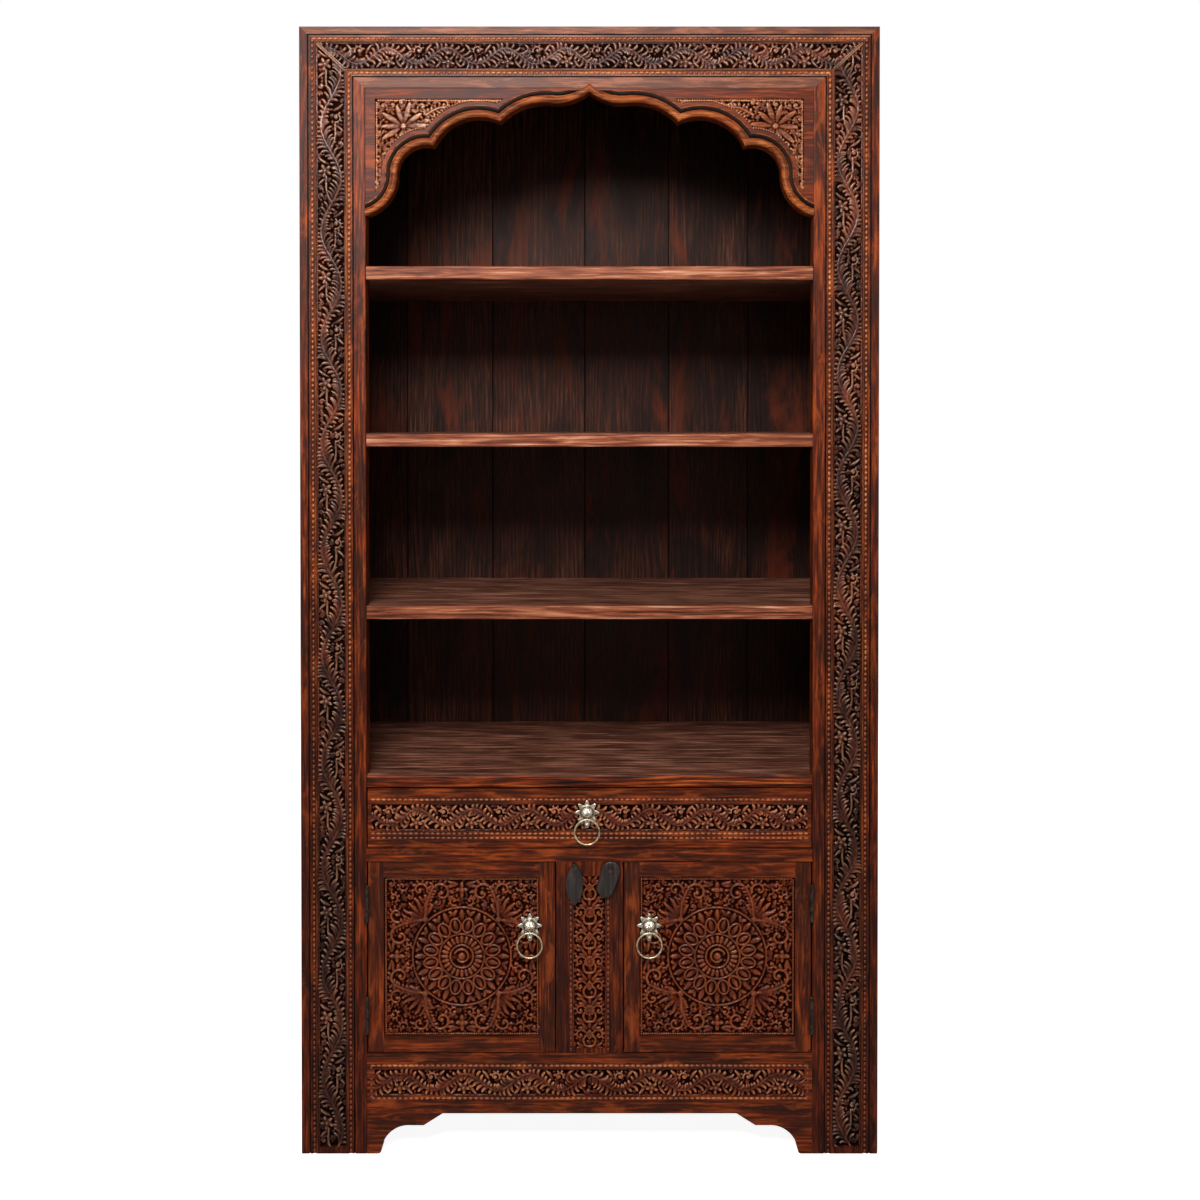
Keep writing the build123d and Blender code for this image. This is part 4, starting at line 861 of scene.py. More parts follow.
# centre post: buds and paired curls, the same on both sides of the middle
def postHalf(rng, fanned):  # one side of one repeat, middle line at the left
    strokes = scrollLeaf(14.5, 2.0, 9.0, 2.6, -1, rng)
    strokes.append(bar(curve([(0, -17), (7, -15), (10, -6), (6, 1)], 24), 3.0, 4.2))
    strokes += [leaflet(3, 11, 0.45 + k, 13, 4.6, 0.4, 4.2) for k in (-0.35, 0.25)]
    strokes += [leaflet(9, -17, 0.3 - k, 12, 4.4, 0.5, 4.1) for k in (0.0, 0.7)]
    if fanned:
        strokes += [leaflet(0, 2, 0.1 + k * 0.52, 8.5, 3.8, 0, 4.3) for k in range(-3, 4)]
    else:
        strokes += [bar(curve([(0, 9), (4.5, 3), (0, -4)], 16), 2.6, 4.2),
                    leaflet(0, -5, 1.57, 13, 5.0, 0, 4.3)]
    return strokes


postCarving = {"half": 27.5, "foot": 172.5, "head": 453.5, "firstRepeat": 19.0, "repeat": 40.0}
half, foot, head = postCarving["half"], postCarving["foot"], postCarving["head"]
rng = np.random.default_rng(41)
field = newField(-half, half, foot, head)
for row, level in enumerate(np.arange(foot + postCarving["firstRepeat"], head - 8, postCarving["repeat"])):
    for hand in (-1, 1):
        press(field, laidAt(postHalf(rng, row % 2), 0, level, hand))
    press(field, [dot(0, level + 2, 3.4, 4.6), leaflet(0, level + 12, 1.57, 12, 5.0, 0, 4.2)])
fillGround(field, rng)
press(field, edging([((x, foot), (x, head)) for x in (0.6 - half, half - 0.6)]))
finishField(field, 0.5, 4.3, rng)
carvedSlab("postCarving", field, np.linspace(slack - half, half - slack, 56), foot + slack, head - slack,
           sunkY, sunkY, woods["carvedRosewoodUpright"], "cabinet")

# doors: a lotus medallion in a ring, palmettes in the corners, scrolls between
doorCarving = {
    "rim": 6.0, "relief": 4.6, "ground": 6.0,
    "ring": 80.0, "ringWidth": 2.8, "boss": 14.0, "innerRings": ((18.6, 3.0, 0.95), (36.6, 2.6, 0.9)),
    "blocks": 24, "blockFrom": 24.5, "blockTo": 31.0,
    "petals": 16, "petalFrom": 39.5, "petalTo": 63.0, "petalHalf": 8.6,
    # scrolls between the ring and an edge: along it, in from it, radius, first angle, hand
    "scrolls": ((33, 20, 15.5, 0.9, 1), (68, 15, 12.5, 3.4, -1), (13, 33, 7.5, 4.4, 1),
                (96, 9, 8.0, 3.6, 1)),
    "beadInset": 3.0, "beadPitch": 3.7, "padRadius": 12.3, "padRise": 5.98,
}
panelLow, panelHigh = boxOf("door_right_panel")
doorMiddle = [round((a + b) / 2, 2) for a, b in zip(panelLow, panelHigh)][::2]
rim = doorCarving["rim"]
doorField = [round(place, 2) for place in (
    panelLow[0] + rim, panelHigh[0] - rim, panelLow[2] + rim, panelHigh[2] - rim)]


def medallion(design, centre):
    top = design["relief"]
    centre = np.array(centre)

    def around(radius, width, share):
        return bar(arcPoints(*centre, radius, 0, 2 * math.pi, 160), width, top * share)

    def toward(angle):
        return np.array((math.cos(angle), math.sin(angle)))

    boss = design["boss"]
    strokes = [around(design["ring"], design["ringWidth"], 0.8), dot(*centre, boss * 0.45, top * 1.2),
               bar(arcPoints(*centre, boss * 0.9, 0.4, 5.2, 60, 0.35), 3.6, top)]
    strokes += [around(*ring) for ring in design["innerRings"]]
    for k in range(design["blocks"]):
        out = toward(k * 2 * math.pi / design["blocks"])
        strokes.append(bar([centre + out * design["blockFrom"], centre + out * design["blockTo"]], 6.0, top))
    petalFrom, petalTo = design["petalFrom"], design["petalTo"]
    step = 2 * math.pi / design["petals"]
    for k in range(design["petals"]):  # an outline round a plump core, a leaf tip between two petals
        a = (k + 0.5) * step
        out, aside = toward(a), np.array((-math.sin(a), math.cos(a)))
        t = np.linspace(-1, 1, 30)
        along = petalFrom + (t + 1) / 2 * (petalTo - petalFrom)
        for hand in (-1, 1):
            wide = design["petalHalf"] * np.cos(t * math.pi / 2) ** 0.5 * hand
            strokes.append(bar(centre + along[:, None] * out + wide[:, None] * aside, 2.8, top * 0.95))
        strokes.append(leaflet(*(centre + out * (petalFrom + 2.0)), a, 18, 8.4, 0, top * 0.95))
        between = a + step / 2
        strokes.append(leaflet(*(centre + (petalTo - 5) * toward(between)), between, 18, 8.4, 0, top))
        tip = centre + (petalTo + 3) * out
        strokes += [leaflet(*tip, a + hand * 0.3, 11.5, 5.4, hand * 0.8, top * 0.92) for hand in (-1, 1)]
    return strokes


def cornerScrolls(design, tall, rng):
    # an eighth of the door, from the middle of a side at the left to a corner, with the edge above
    top = design["relief"]
    strokes = []
    for x, down, radius, start, hand in design["scrolls"]:
        strokes += scrollLeaf(x, tall - down, radius, start, hand, rng, top)
    stem = curve([(60, 62), (57, tall - 38), (52, tall - 22), (46, tall - 10)], 30)
    strokes.append(bar(stem, 3.2, top))
    strokes += combAlong(stem, 6.0, lambda x, z, side: 10.0, 0.6, 0.9, 4.4, top * 0.95, rng, skip=4)
    strokes += [leaflet(6, tall - 6, 0.15 + k, 17, 5.0, 0.35, top * 0.95) for k in (-0.45, 0.0)]
    strokes += [leaflet(84, 52 + k * 9, 0.35, 19 - k * 3, 4.8, 0.5, top * 0.95) for k in range(3)]
    return strokes


def doorCorners(design, rng):
    x0, x1, z0, z1 = doorField
    halfX, halfZ = (x1 - x0) / 2 - design["rim"], (z1 - z0) / 2 - design["rim"]
    top = design["relief"]
    palmette = [dot(60, 61, 5.4, top * 1.1)]
    for turn in np.linspace(-1.15, 1.15, 7):
        angle = 0.785 + turn
        palmette.append(leaflet(60 + 4 * math.cos(angle), 61 + 4 * math.sin(angle), angle,
                                33 - 9 * abs(turn), 7.4, turn * 0.35, top))
    strokes = []
    for handX in (-1, 1):
        for handZ in (-1, 1):
            strokes += laidAt(cornerScrolls(design, halfZ, rng), *doorMiddle, handX, handZ)
            strokes += laidAt(cornerScrolls(design, halfX, rng), *doorMiddle, handX, handZ, True)
            strokes += laidAt(palmette, *doorMiddle, handX, handZ)
    for k in range(4):  # a lozenge bud in the middle of each side
        away = (halfX if k % 2 else halfZ) - 15
        bud = [leaflet(0, away, math.pi / 2 * j, 12 if j % 2 else 9, 7.0, 0, top) for j in range(4)]
        bud.append(dot(0, away, 4.6, top * 1.1))
        hand = 1 if k < 2 else -1
        strokes += laidAt(bud, *doorMiddle, hand, hand, bool(k % 2))
    return strokes


for side, hand, seed in (("left", -1, 53), ("right", 1, 59)):
    rng = np.random.default_rng(seed)
    design = doorCarving
    x0, x1, z0, z1 = doorField
    field = newField(x0 - 5, x1 + 5, z0 - 5, z1 + 5)
    xs, zs = field["x"][None, :], field["z"][:, None]
    press(field, doorCorners(design, rng))
    middle = (xs - doorMiddle[0]) ** 2 + (zs - doorMiddle[1]) ** 2 < (design["ring"] + 1.5) ** 2
    field["h"][middle] = 0
    press(field, medallion(design, doorMiddle))
    field["h"][(xs < x0 + 5.5) | (xs > x1 - 5.5) | (zs < z0 + 5.5) | (zs > z1 - 5.5)] = 0
    fillGround(field, rng, sizes=(7.0, 5.0, 3.6, 2.6, 1.8), tries=1700, rise=0.9,
               mask=lambda x, z, size: x0 + 6 < x < x1 - 6 and z0 + 6 < z < z1 - 6)
    inset = design["beadInset"]  # a fine row of beads round the edge of the field
    for low, high, levels, upright in ((x0, x1, (z0, z1), False), (z0, z1, (x0, x1), True)):
        places = np.arange(low + inset, high - inset, design["beadPitch"])
        for level in (levels[0] + inset, levels[1] - inset):
            press(field, dotRow(places, level, 1.5, 4.0, upright))
    padX, padZ = pullPlaces["right"]  # a flat seat for the pull
    pad = (xs - padX) ** 2 + (zs - padZ) ** 2 < design["padRadius"] ** 2
    finishField(field, 0.4, 5.0, rng, 0.75)
    field["h"][pad], field["crest"][pad] = design["padRise"], 0.5
    if hand < 0:
        turnOver(field)
    low, high = sorted((hand * x0, hand * x1))
    field["h"][:, (field["x"] < low) | (field["x"] > high)] = 0.1
    field["h"][(field["z"] < z0) | (field["z"] > z1), :] = 0.1
    first, last = sorted((hand * (x0 - 4.9), hand * (x1 + 4.9)))
    columns = np.linspace(first, last, int(last - first) + 1)
    floorPlane = panelLow[1] + design["ground"]
    slab = carvedSlab(f"doorCarving_{side}", field, columns, z0 - 4.9, z1 + 4.9, floorPlane, panelHigh[1],
                      woods["carvedRosewoodUpright"], f"door_{side}")
    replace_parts(slab, f"door_{side}_panel")
print("post and doors carved")


# arch: its line from foot to crown, as circular arcs through three points each, in shares of half its width
# and of its rise
archLow, archHigh = boxOf("arch_panel")
archLine = {
    "half": archHigh[0], "foot": archLow[2], "rise": round(archHigh[2] - archLow[2], 2),
    "points": ((1, 0), (0.903, 0.105), (0.857, 0.330), (0.813, 0.500), (0.694, 0.544), (0.575, 0.745),
               (0.397, 0.733), (0.300, 0.852), (0.160, 0.884), (0.068, 0.906), (0, 0.972)),
}


def archArcs(design):  # one list of points for each arc of the right half, foot first
    dots = [np.array((share * design["half"], design["foot"] + up * design["rise"]))
            for share, up in design["points"]]
    arcs = []
    for a, b, c in zip(dots[0:-2:2], dots[1:-1:2], dots[2::2]):
        m = np.array(((b - a), (c - a)))
        centre = a + np.linalg.solve(2 * m, (m ** 2).sum(1))
        turns = [math.atan2(*(p - centre)[::-1]) for p in (a, b, c)]
        first = (turns[1] - turns[0] + math.pi) % (2 * math.pi) - math.pi
        second = (turns[2] - turns[1] + math.pi) % (2 * math.pi) - math.pi
        angles = turns[0] + np.linspace(0, 1, 40) * (first + second)
        arcs.append(centre + np.linalg.norm(a - centre) * np.column_stack((np.cos(angles), np.sin(angles))))
    return arcs


arcs = archArcs(archLine)
archDots = np.vstack(arcs)

# spandrels: a star flower in each top corner, curls along the arch
spandrelCarving = {
    "outer": archHigh[0] - 15.5, "inner": archHigh[0] - 240.5, "foot": archLow[2], "top": archHigh[2] - 16.5,
    "margin": 26.3, "depth": 4.0, "flower": (300.7, 1669.6), "petals": 10, "petalLength": 35.0,
    # two stems, as places from the flower: down the side and along the top
    "stems": (((22, -34), (33, -60), (26, -84), (38, -112), (40, -138)),
              ((-36, 18), (-62, 30), (-92, 22), (-122, 30), (-160, 34), (-182, 32))),
    "beadInset": 2.6, "beadPitch": 3.8,
}


def spandrelFoot(x):  # the lower edge of the sunk field: the arch line, moved out by the margin
    away = spandrelCarving["margin"] ** 2 - (np.abs(x)[:, None] - archDots[None, :, 0]) ** 2
    rise = np.where(away > 0, archDots[None, :, 1] + np.sqrt(np.clip(away, 0, None)), 0)
    return np.maximum(rise.max(1), spandrelCarving["foot"])


for side, hand, seed in (("left", -1, 67), ("right", 1, 71)):
    rng = np.random.default_rng(seed)
    design = spandrelCarving
    outer, inner, low, top = design["outer"], design["inner"], design["foot"], design["top"]
    field = newField(inner, outer, low, top)
    foot = spandrelFoot(field["x"])
    fx, fz = design["flower"]
    strokes = [dot(fx, fz, 5.0, 4.0)]
    for k in range(design["petals"]):
        a = k * 2 * math.pi / design["petals"] + rng.uniform(-0.1, 0.1)
        length = design["petalLength"] * (1.0 if k % 2 else 0.86)
        for aside in (-0.12, 0.12):
            strokes.append(leaflet(fx + 5 * math.cos(a), fz + 5 * math.sin(a), a + aside, length, 5.8,
                                   -aside * 2.2, 3.6))
    for offsets in design["stems"]:
        stem = curve([(fx + across, fz + up) for across, up in offsets])
        strokes.append(bar(stem, 3.0, 3.4))
        strokes += combAlong(stem, 6.4, lambda x, z, side: 10.0, 0.6, 1.0, 4.0, 3.4, rng)
        for k, (x, z) in enumerate(stem[6::11]):
            across, up, turn = (9, 8, 1) if k % 2 else (-6, -9, -1)
            strokes += scrollLeaf(x + across, z + up, 6.5, k * 1.3, turn, rng, 3.4)
    press(field, strokes)
    fillGround(field, rng, sizes=(7.0, 5.5, 4.0, 2.8, 2.0), tries=3500)
    gap = field["z"][:, None] - foot[None, :]
    field["h"] *= np.clip((gap - 2.5) / 1.5, 0, 1)
    inset, pitch = design["beadInset"], design["beadPitch"]
    press(field, [dot(x, z + 2.2, 1.5, 3.0) for x, z in list(zip(field["x"], foot))[::4] if z < top - 5])
    press(field, dotRow(np.arange(inner + 3, outer - 2, pitch), top - inset, 1.5, 3.2))
    press(field, dotRow(np.arange(low + 12, top - 4, pitch), outer - inset, 1.5, 3.2, True))
    finishField(field, 0.4, 3.5, rng)
    if hand < 0:
        turnOver(field)
    first, last = sorted((hand * (inner + 0.1), hand * (outer - 0.1)))
    columns = np.linspace(first, last, int(last - first) + 1)
    floorPlane = faceY + design["depth"]
    carvedSlab(f"spandrelCarving_{side}", field, columns, np.minimum(spandrelFoot(columns) + 0.2, top - 0.6),
               top - 0.1, floorPlane, floorPlane, woods["goldenRosewood"], "cabinet", step=1.15)
print("spandrels carved")

# roll moulding round the arch: a half-round, a groove and a flat band, mitred at the cusps
archMoulding = {
    "crownLine": archLine["foot"] + 0.884 * archLine["rise"] + 20.0, "gableRise": 13.0, "gableHalf": 36.0,
    "gableSlope": 0.9, "rowsPerArc": 40, "groove": (9, 10, 11),
    # across the moulding, from its edge at the arch: distance and height in mm
    "profile": ((0, 0.6), (0.4, 2.6), (1.4, 4.4), (3.0, 5.5), (5.0, 5.95), (7.0, 5.6), (8.8, 4.5),
                (10.2, 2.8), (10.9, 1.4), (11.9, 1.2), (12.3, 3.0), (13.2, 3.6), (17.8, 3.7),
                (19.2, 3.2), (20.0, 1.8), (20.0, 0.0)),
}


def offsetRow(points, distance, start, end, count):
    # one line of the moulding at this distance from the arch, cut or drawn out to the mitres at both ends
    step = np.diff(points, axis=0)
    heading = np.vstack((step, step[-1])) + np.vstack((step[0], step))
    normal = np.column_stack((-heading[:, 1], heading[:, 0]))
    normal /= np.linalg.norm(normal, axis=1)[:, None]
    moved = points - normal * distance
    lead = (moved[0] - moved[1]) / np.linalg.norm(moved[0] - moved[1]) * 30
    tail = (moved[-1] - moved[-2]) / np.linalg.norm(moved[-1] - moved[-2]) * 30
    moved = np.vstack((moved[0] + lead, moved, moved[-1] + tail))
    for corner, across in (start, end):
        side = (moved - corner) @ across
        inside = side >= -1e-9
        first, last = int(np.argmax(inside)), len(inside) - 1 - int(np.argmax(inside[::-1]))
        kept = [moved[first:last + 1]]
        if first > 0:
            t = side[first] / (side[first] - side[first - 1])
            kept.insert(0, (moved[first] + (moved[first - 1] - moved[first]) * t)[None])
        if last < len(moved) - 1:
            t = side[last] / (side[last] - side[last + 1])
            kept.append((moved[last] + (moved[last + 1] - moved[last]) * t)[None])
        moved = np.vstack(kept)
    along = np.concatenate(([0], np.cumsum(np.linalg.norm(np.diff(moved, axis=0), axis=1))))
    places = np.linspace(0, along[-1], count)
    return np.column_stack((np.interp(places, along, moved[:, 0]), np.interp(places, along, moved[:, 1])))


def mouldingRows(design, arcs):
    level = np.array((-1.0, 0.0))
    ends = [(arcs[0][0], level)]  # a mitre line at each end of each arc
    for before, after in zip(arcs, arcs[1:]):
        back, fore = before[-1] - before[-2], after[1] - after[0]
        across = back / np.linalg.norm(back) + fore / np.linalg.norm(fore)
        ends.append((after[0], across / np.linalg.norm(across)))
    ends.append((arcs[-1][-1], level))
    columns = []
    for k, arc in enumerate(arcs):
        end = (ends[k + 1][0], -ends[k + 1][1])
        rows = [offsetRow(arc, distance, ends[k], end, design["rowsPerArc"])
                for distance, _ in design["profile"]]
        columns.append(np.stack(rows, 1)[0 if k == 0 else 1:])
    grid = np.concatenate(columns)  # places along the arch, then places across the profile
    away = np.abs(grid[..., 0])
    gable = archDots[-1, 1] + design["gableRise"] - away * design["gableSlope"]
    limit = np.where(away < design["gableHalf"], np.maximum(design["crownLine"], gable), design["crownLine"])
    grid[..., 1] = np.minimum(grid[..., 1], limit)
    grid[..., 0] = np.minimum(grid[..., 0], archLine["half"] - 0.1)  # it stops against the stile
    return grid


grid = mouldingRows(archMoulding, arcs)
heights = np.array([height for _, height in archMoulding["profile"]])
left = grid.copy()
left[..., 0] *= -1
whole = np.concatenate((left, grid[-2::-1]))  # left foot, crown, right foot
count, width = whole.shape[:2]
vertices = np.zeros((count, width + 1, 3))
vertices[:, :width, 0], vertices[:, :width, 2] = whole[..., 0], whole[..., 1]
vertices[:, :width, 1] = faceY - heights[None, :]
vertices[:, width] = vertices[:, 0]
vertices[:, width, 1] = faceY
ring = width + 1
faces = []
for i in range(count - 1):
    for j in range(ring):
        a, b = i * ring + j, i * ring + (j + 1) % ring
        faces.append((a, b, b + ring, a + ring))
faces.append(tuple(range(ring))[::-1])
faces.append(tuple((count - 1) * ring + j for j in range(ring)))
roll = newPiece("archRoll", vertices.reshape(-1, 3), faces, woods["wornRosewood"], "cabinet",
                35)
# the groove faces are black, a painted shadow
roll.data.materials.append(woods["shadowBlackRosewood"])
for polygon in roll.data.polygons[:(count - 1) * ring]:
    if polygon.index % ring in archMoulding["groove"]:
        polygon.material_index = 1
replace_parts(roll, "arch_moulding")
print("arch moulding made")


# beads and strips. Each tree takes lines and turns them into rows of beads, or into thin strips.
def newTree(name, inputs):  # its inputs and output, and the node that gives the inputs
    tree = bpy.data.node_groups.new(name, "GeometryNodeTree")
    for label, kind in (("Geometry", "Geometry"), *inputs, ("Wood", "Material")):
        tree.interface.new_socket(name=label, in_out="INPUT", socket_type="NodeSocket" + kind)
    tree.interface.new_socket(name="Geometry", in_out="OUTPUT", socket_type="NodeSocketGeometry")
    return tree, addNode(tree, "NodeGroupInput").outputs


def closeTree(tree, geometry, wood):  # real geometry in its wood is what the tree gives back
    real = addNode(tree, "GeometryNodeRealizeInstances", links={"Geometry": geometry})
    coated = addNode(tree, "GeometryNodeSetMaterial", links={"Geometry": real.outputs[0], "Material": wood})
    addNode(tree, "NodeGroupOutput", links={"Geometry": coated.outputs[0]})
    return tree


def beadTree():  # egg-shaped beads in a row along each line, a little uneven in length
    tree, given = newTree("beadRows", (("Pitch", "Float"), ("Length", "Float"), ("Radius", "Float"),
                                       ("Uneven", "Float"), ("Seed", "Int")))
    rows = addNode(tree, "GeometryNodeMeshToCurve", links={"Mesh": given["Geometry"]})
    spaced = addNode(tree, "GeometryNodeResampleCurve", {"mode": "LENGTH"},
                     {"Curve": rows.outputs[0], "Length": given["Pitch"]})
    bead = addNode(tree, "GeometryNodeMeshUVSphere", {"Segments": 8, "Rings": 5, "Radius": 1.0})
    soft = addNode(tree, "GeometryNodeSetShadeSmooth", links={"Geometry": bead.outputs["Mesh"]})
    tangent = addNode(tree, "GeometryNodeInputTangent")
    turn = addNode(tree, "FunctionNodeAlignRotationToVector", {"axis": "Z"}, {"Vector": tangent.outputs[0]})
    low = addNode(tree, "ShaderNodeMath", {"operation": "SUBTRACT", 0: 1.0}, {1: given["Uneven"]})
    high = addNode(tree, "ShaderNodeMath", {"operation": "ADD", 0: 1.0}, {1: given["Uneven"]})
    chance = addNode(tree, "FunctionNodeRandomValue", {"data_type": "FLOAT"},
                     {2: low.outputs[0], 3: high.outputs[0], "Seed": given["Seed"]})
    long = addNode(tree, "ShaderNodeMath", {"operation": "MULTIPLY"},
                   {0: given["Length"], 1: chance.outputs[1]})
    size = addNode(tree, "ShaderNodeCombineXYZ",
                   links={"X": given["Radius"], "Y": given["Radius"], "Z": long.outputs[0]})
    laid = addNode(tree, "GeometryNodeInstanceOnPoints", links={
        "Points": spaced.outputs[0], "Instance": soft.outputs[0], "Rotation": turn.outputs[0],
        "Scale": size.outputs[0]})
    return closeTree(tree, laid.outputs[0], given["Wood"])


def stripTree():  # a thin round-topped strip along each line, a little uneven as cut by hand
    tree, given = newTree("edgeStrips", (("Radius", "Float"), ("Sides", "Int"), ("Wander", "Float"),
                                         ("Step", "Float"), ("Clouds", "Float")))
    rows = addNode(tree, "GeometryNodeMeshToCurve", links={"Mesh": given["Geometry"]})
    spaced = addNode(tree, "GeometryNodeResampleCurve", {"mode": "LENGTH"},
                     {"Curve": rows.outputs[0], "Length": given["Step"]})
    cloud = addNode(tree, "ShaderNodeTexNoise", {"Detail": 2.0}, {"Scale": given["Clouds"]})
    centred = addNode(tree, "ShaderNodeVectorMath", {"operation": "SUBTRACT", 1: (0.5, 0.5, 0.5)},
                      {0: cloud.outputs["Color"]})
    pushed = addNode(tree, "ShaderNodeVectorMath", {"operation": "SCALE"},
                     {0: centred.outputs[0], "Scale": given["Wander"]})
    bent = addNode(tree, "GeometryNodeSetPosition",
                   links={"Geometry": spaced.outputs[0], "Offset": pushed.outputs[0]})
    section = addNode(tree, "GeometryNodeCurvePrimitiveCircle", {"mode": "RADIUS"},
                      {"Resolution": given["Sides"], "Radius": given["Radius"]})
    swept = addNode(tree, "GeometryNodeCurveToMesh", {"Fill Caps": True},
                    {"Curve": bent.outputs[0], "Profile Curve": section.outputs[0]})
    return closeTree(tree, swept.outputs[0], given["Wood"])


beads, strips = beadTree(), stripTree()


def laidAlong(name, tree, body, rows, values):  # rows: (x0, z0, x1, z1, y) in mm
    line = bpy.data.meshes.new(name + "Line")
    ends = [(x * mm, y * mm, z * mm) for x0, z0, x1, z1, y in rows for x, z in ((x0, z0), (x1, z1))]
    line.from_pydata(ends, [(2 * k, 2 * k + 1) for k in range(len(rows))], [])
    holder = bpy.data.objects.new(name + "Line", line)
    collection.objects.link(holder)
    modifier = holder.modifiers.new("laid", "NODES")
    modifier.node_group = tree
    for item in tree.interface.items_tree:
        if item.in_out == "INPUT" and item.name in values:
            modifier[item.identifier] = values[item.name]
    evaluated = holder.evaluated_get(bpy.context.evaluated_depsgraph_get())
    mesh = bpy.data.meshes.new_from_object(evaluated)
    mesh.name = name
    bpy.data.objects.remove(holder)
    return mounted(name, mesh, body)


beadSizes = {"Pitch": 8.8 * mm, "Length": 3.2 * mm, "Radius": 2.3 * mm, "Uneven": 0.2, "Seed": 3}
frameBeads = {"outer": (21.4, 2.2), "inner": (80.6, 2.4)}  # in from the cabinet's edge, radius, in mm
for name, (inset, radius) in frameBeads.items():
    x, z = halfWidth - inset, mitreLine(halfWidth - inset)
    upright = [(hand * x, 5.0, hand * x, z - 3, faceY + 0.2) for hand in (-1, 1)]
    laidAlong(f"{name}StileBeads", beads, "cabinet", upright,
              dict(beadSizes, Radius=radius * mm, Wood=woods["polishedBeadUpright"]))
    laidAlong(f"{name}HeadBeads", beads, "cabinet", [(3 - x, z, x - 3, z, faceY + 0.4)],
              dict(beadSizes, Length=3.6 * mm, Radius=radius * mm, Seed=5, Wood=woods["polishedBeadLevel"]))
drawerY = boxOf("drawer_front")[0][1]
straightBeads = {  # body, rows, sizes in mm that differ, wood
    "postBeads": ("cabinet", [(x, 170.0, x, 456.0, faceY + 0.3) for x in (-30.3, 30.3)],
                  {"Radius": 1.9}, "polishedBeadUpright"),
    "baseEndBeads": ("cabinet", [(x, 92.0, x, 140.0, faceY + 0.3) for x in (-355.0, 355.0)],
                     {}, "polishedBeadUpright"),
    "baseBeads": ("cabinet", [(-352.0, z, 352.0, z, faceY + 0.3) for z in (144.0, 90.6)],
                  {"Length": 4.1}, "shadedBeadLow"),
    "drawerBeads": ("drawer", [(-352.0, z, 352.0, z, drawerY + sunk)
                               for z, sunk in ((578.0, 0.3), (522.6, 0.3), (515.4, 0.5))],
                    {"Length": 3.8, "Radius": 2.1}, "shadedBeadLow"),
}
for name, (body, rows, sizes, wood) in straightBeads.items():
    sizes = {key: size * mm for key, size in sizes.items()}
    laidAlong(name, beads, body, rows, {**beadSizes, **sizes, "Wood": woods[wood]})

stripSizes = {"Radius": 1.5 * mm, "Sides": 10, "Wander": 1.0 * mm, "Step": 14 * mm, "Clouds": 45.0}
frameLines = {  # in from the cabinet's edge, how deep in the face, radius, wood
    "fillet": ((25.8, 76.0), 0.1, 1.3, ("wornFilletUpright", "wornFilletLevel")),
    # the quirk strips: black in the bottom of each groove, a painted shadow
    "quirk": ((14.2, 86.8), 1.0, 1.15, ("shadowBlackRosewood", "shadowBlackRosewood")),
}
for name, (insets, depth, radius, finishNames) in frameLines.items():
    y = faceY + depth
    ends = [(halfWidth - inset, mitreLine(halfWidth - inset)) for inset in insets]
    upright = [(hand * x, 1.5, hand * x, z, y) for x, z in ends for hand in (-1, 1)]
    level = [(-x, z, x, z, y) for x, z in ends]
    for direction, rows, finish in (("Upright", upright, finishNames[0]), ("Level", level, finishNames[1])):
        laidAlong(f"{name}{direction}", strips, "cabinet", rows,
                  dict(stripSizes, Radius=radius * mm, Wood=woods[finish]))
planks = [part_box(f"back_plank_{number}") for number in range(1, 7)]
plankFront = planks[0][0][1] / mm
seams = sorted(high[0] / mm for low, high in planks)[:-1]
# black strips in the seams between planks, a painted shadow
laidAlong("plankSeams", strips, "cabinet", [(x, 166.0, x, 1804.0, plankFront + 1.0) for x in seams],
          dict(stripSizes, Radius=1.8 * mm, Wander=0.8 * mm, Wood=woods["shadowBlackRosewood"]))
print("beads, fillets and seams laid")

# pulls: a cast rosette with curled tips, a domed boss with a finial and a pointed drop
pullRosette = {
    "dome": 10.6, "domeRise": 8.4, "plateRise": 2.0, "collar": 12.2, "tip": 19.2, "drop": 25.6,
    "finial": (2.4, 1.8), "roll": (11.4, 0.9, 1.3), "stud": (20.5, 2.6, 2.2), "beading": 0.3,
    "turns": 96, "outerRings": 10,
    "innerRings": (0.9, 1.8, 2.6, 3.6, 5.0, 6.4, 7.6, 8.6, 9.4, 10.0, 10.4, 10.6, 10.9, 11.5, 12.2),
}


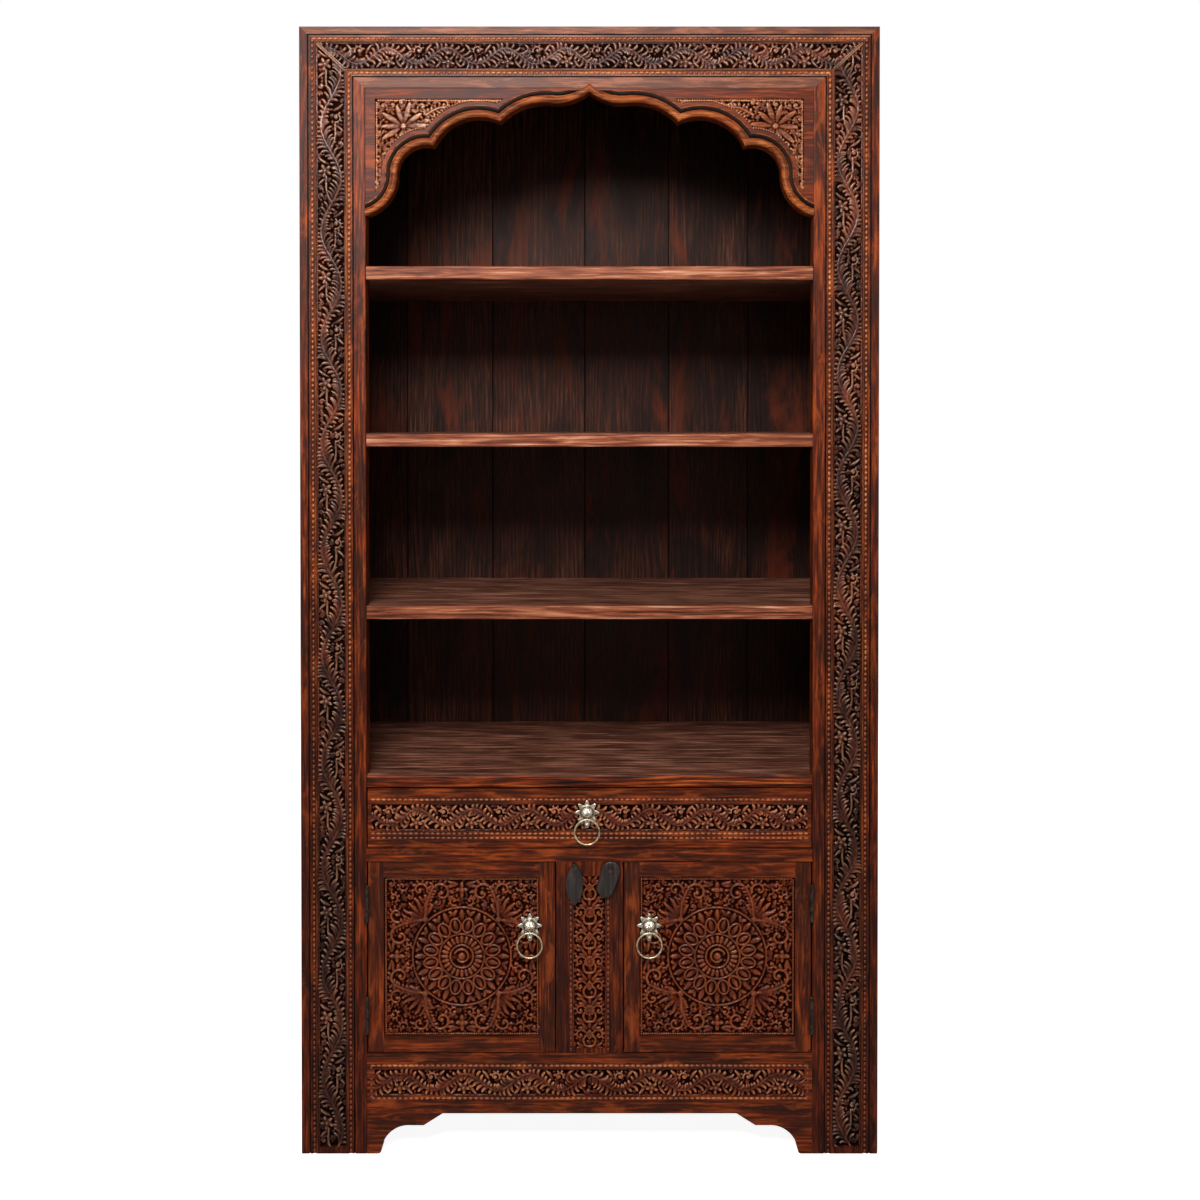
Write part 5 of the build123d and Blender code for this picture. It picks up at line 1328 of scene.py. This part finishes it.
def rosette(design, name, cx, cz, body):
    def bulge(value):  # height of a round of radius one at this square of the distance
        return np.sqrt(np.clip(1 - value, 0, 1))

    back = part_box(f"pull_plate_{name}")[1][1] / mm
    turn = np.linspace(0, 2 * np.pi, design["turns"], endpoint=False)
    collar = design["collar"]
    lobe = (np.cos(4 * turn) ** 2) ** 1.1
    down = np.clip(-np.sin(turn), 0, 1) ** 40
    edge = collar + 0.9 + (design["tip"] - collar) * lobe * (1 - down)
    edge = edge + (design["drop"] - collar - 0.9) * down
    rings = [np.full(len(turn), radius) for radius in design["innerRings"]]
    for share in np.linspace(0, 1, design["outerRings"] + 1)[1:]:
        rings.append(collar + (edge - collar) * share)
    finialRadius, finialRise = design["finial"]
    rollRadius, rollHalf, rollRise = design["roll"]
    studRadius, studHalf, studRise = design["stud"]
    points = [(cx, back - design["plateRise"] - design["domeRise"] - finialRise, cz)]
    for r in rings:
        share = r / design["dome"]
        dome = bulge(share ** 2) * design["domeRise"]
        dome = dome + design["beading"] * np.cos(12 * turn) * np.clip(
            np.sin(np.pi * np.clip(share, 0, 1)), 0, 1)
        finial = finialRise * bulge((r / finialRadius) ** 2)
        roll = rollRise * bulge(((r - rollRadius) / rollHalf) ** 2)
        out = np.clip((r - collar) / (edge - collar + 1e-6), 0, 1)
        curled = lobe * (1.6 * out ** 2 + 0.8 * np.sin(np.pi * out)) * (1 - down)
        stud = studRise * bulge(((r - studRadius) ** 2 + (turn - 1.5 * np.pi) ** 2 * 400) / studHalf ** 2)
        rise = design["plateRise"] * (1 - 0.55 * out ** 4) + dome + finial + roll + curled + stud
        points += np.column_stack((cx + r * np.cos(turn), back - rise, cz + r * np.sin(turn))).tolist()
    flat = np.full(len(turn), back)
    points += np.column_stack((cx + edge * np.cos(turn), flat, cz + edge * np.sin(turn))).tolist()
    count = len(turn)
    faces = [(0, 1 + i, 1 + (i + 1) % count) for i in range(count)]
    for row in range(len(rings)):
        for i in range(count):
            a, b = 1 + row * count + i, 1 + row * count + (i + 1) % count
            faces.append((a, a + count, b + count, b))
    faces.append(tuple(1 + len(rings) * count + i for i in range(count))[::-1])
    piece = newPiece(f"pullRosette_{name}", points, faces, metals["antiqueNickel"], body,
                     50)
    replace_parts(piece, f"pull_plate_{name}")


for name, (x, z) in pullPlaces.items():
    rosette(pullRosette, name, x, z, "drawer" if name == "drawer" else f"door_{name}")
print("rosettes cast")


# turn buttons, their arrises rounded over
turnButton = {"rounding": 2.4, "segments": 4, "arris": 50}  # mm, steps, degrees


def roundedCopy(nodeName, name, design, material, body):
    shape = bmesh.new()
    shape.from_mesh(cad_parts[nodeName].data)
    bmesh.ops.remove_doubles(shape, verts=shape.verts, dist=0.01 * mm)
    bmesh.ops.dissolve_limit(shape, angle_limit=math.radians(2), verts=shape.verts, edges=shape.edges)
    arrises = [edge for edge in shape.edges
               if len(edge.link_faces) == 2 and edge.calc_face_angle() > math.radians(design["arris"])]
    bmesh.ops.bevel(shape, geom=arrises, offset=design["rounding"] * mm, segments=design["segments"],
                    profile=0.5, affect="EDGES", clamp_overlap=True)
    mesh = bpy.data.meshes.new(name)
    shape.to_mesh(mesh)
    shape.free()
    mesh.materials.clear()
    mesh.materials.append(material)
    mesh.shade_smooth()
    mesh.set_sharp_from_angle(angle=math.radians(35))
    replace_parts(mounted(name, mesh, body), nodeName)


for side in ("left", "right"):
    roundedCopy(f"turn_button_{side}", f"turnButton_{side}", turnButton, woods["ebonisedWood"],
                f"button_{side}")
print("turn buttons rounded")

low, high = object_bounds()
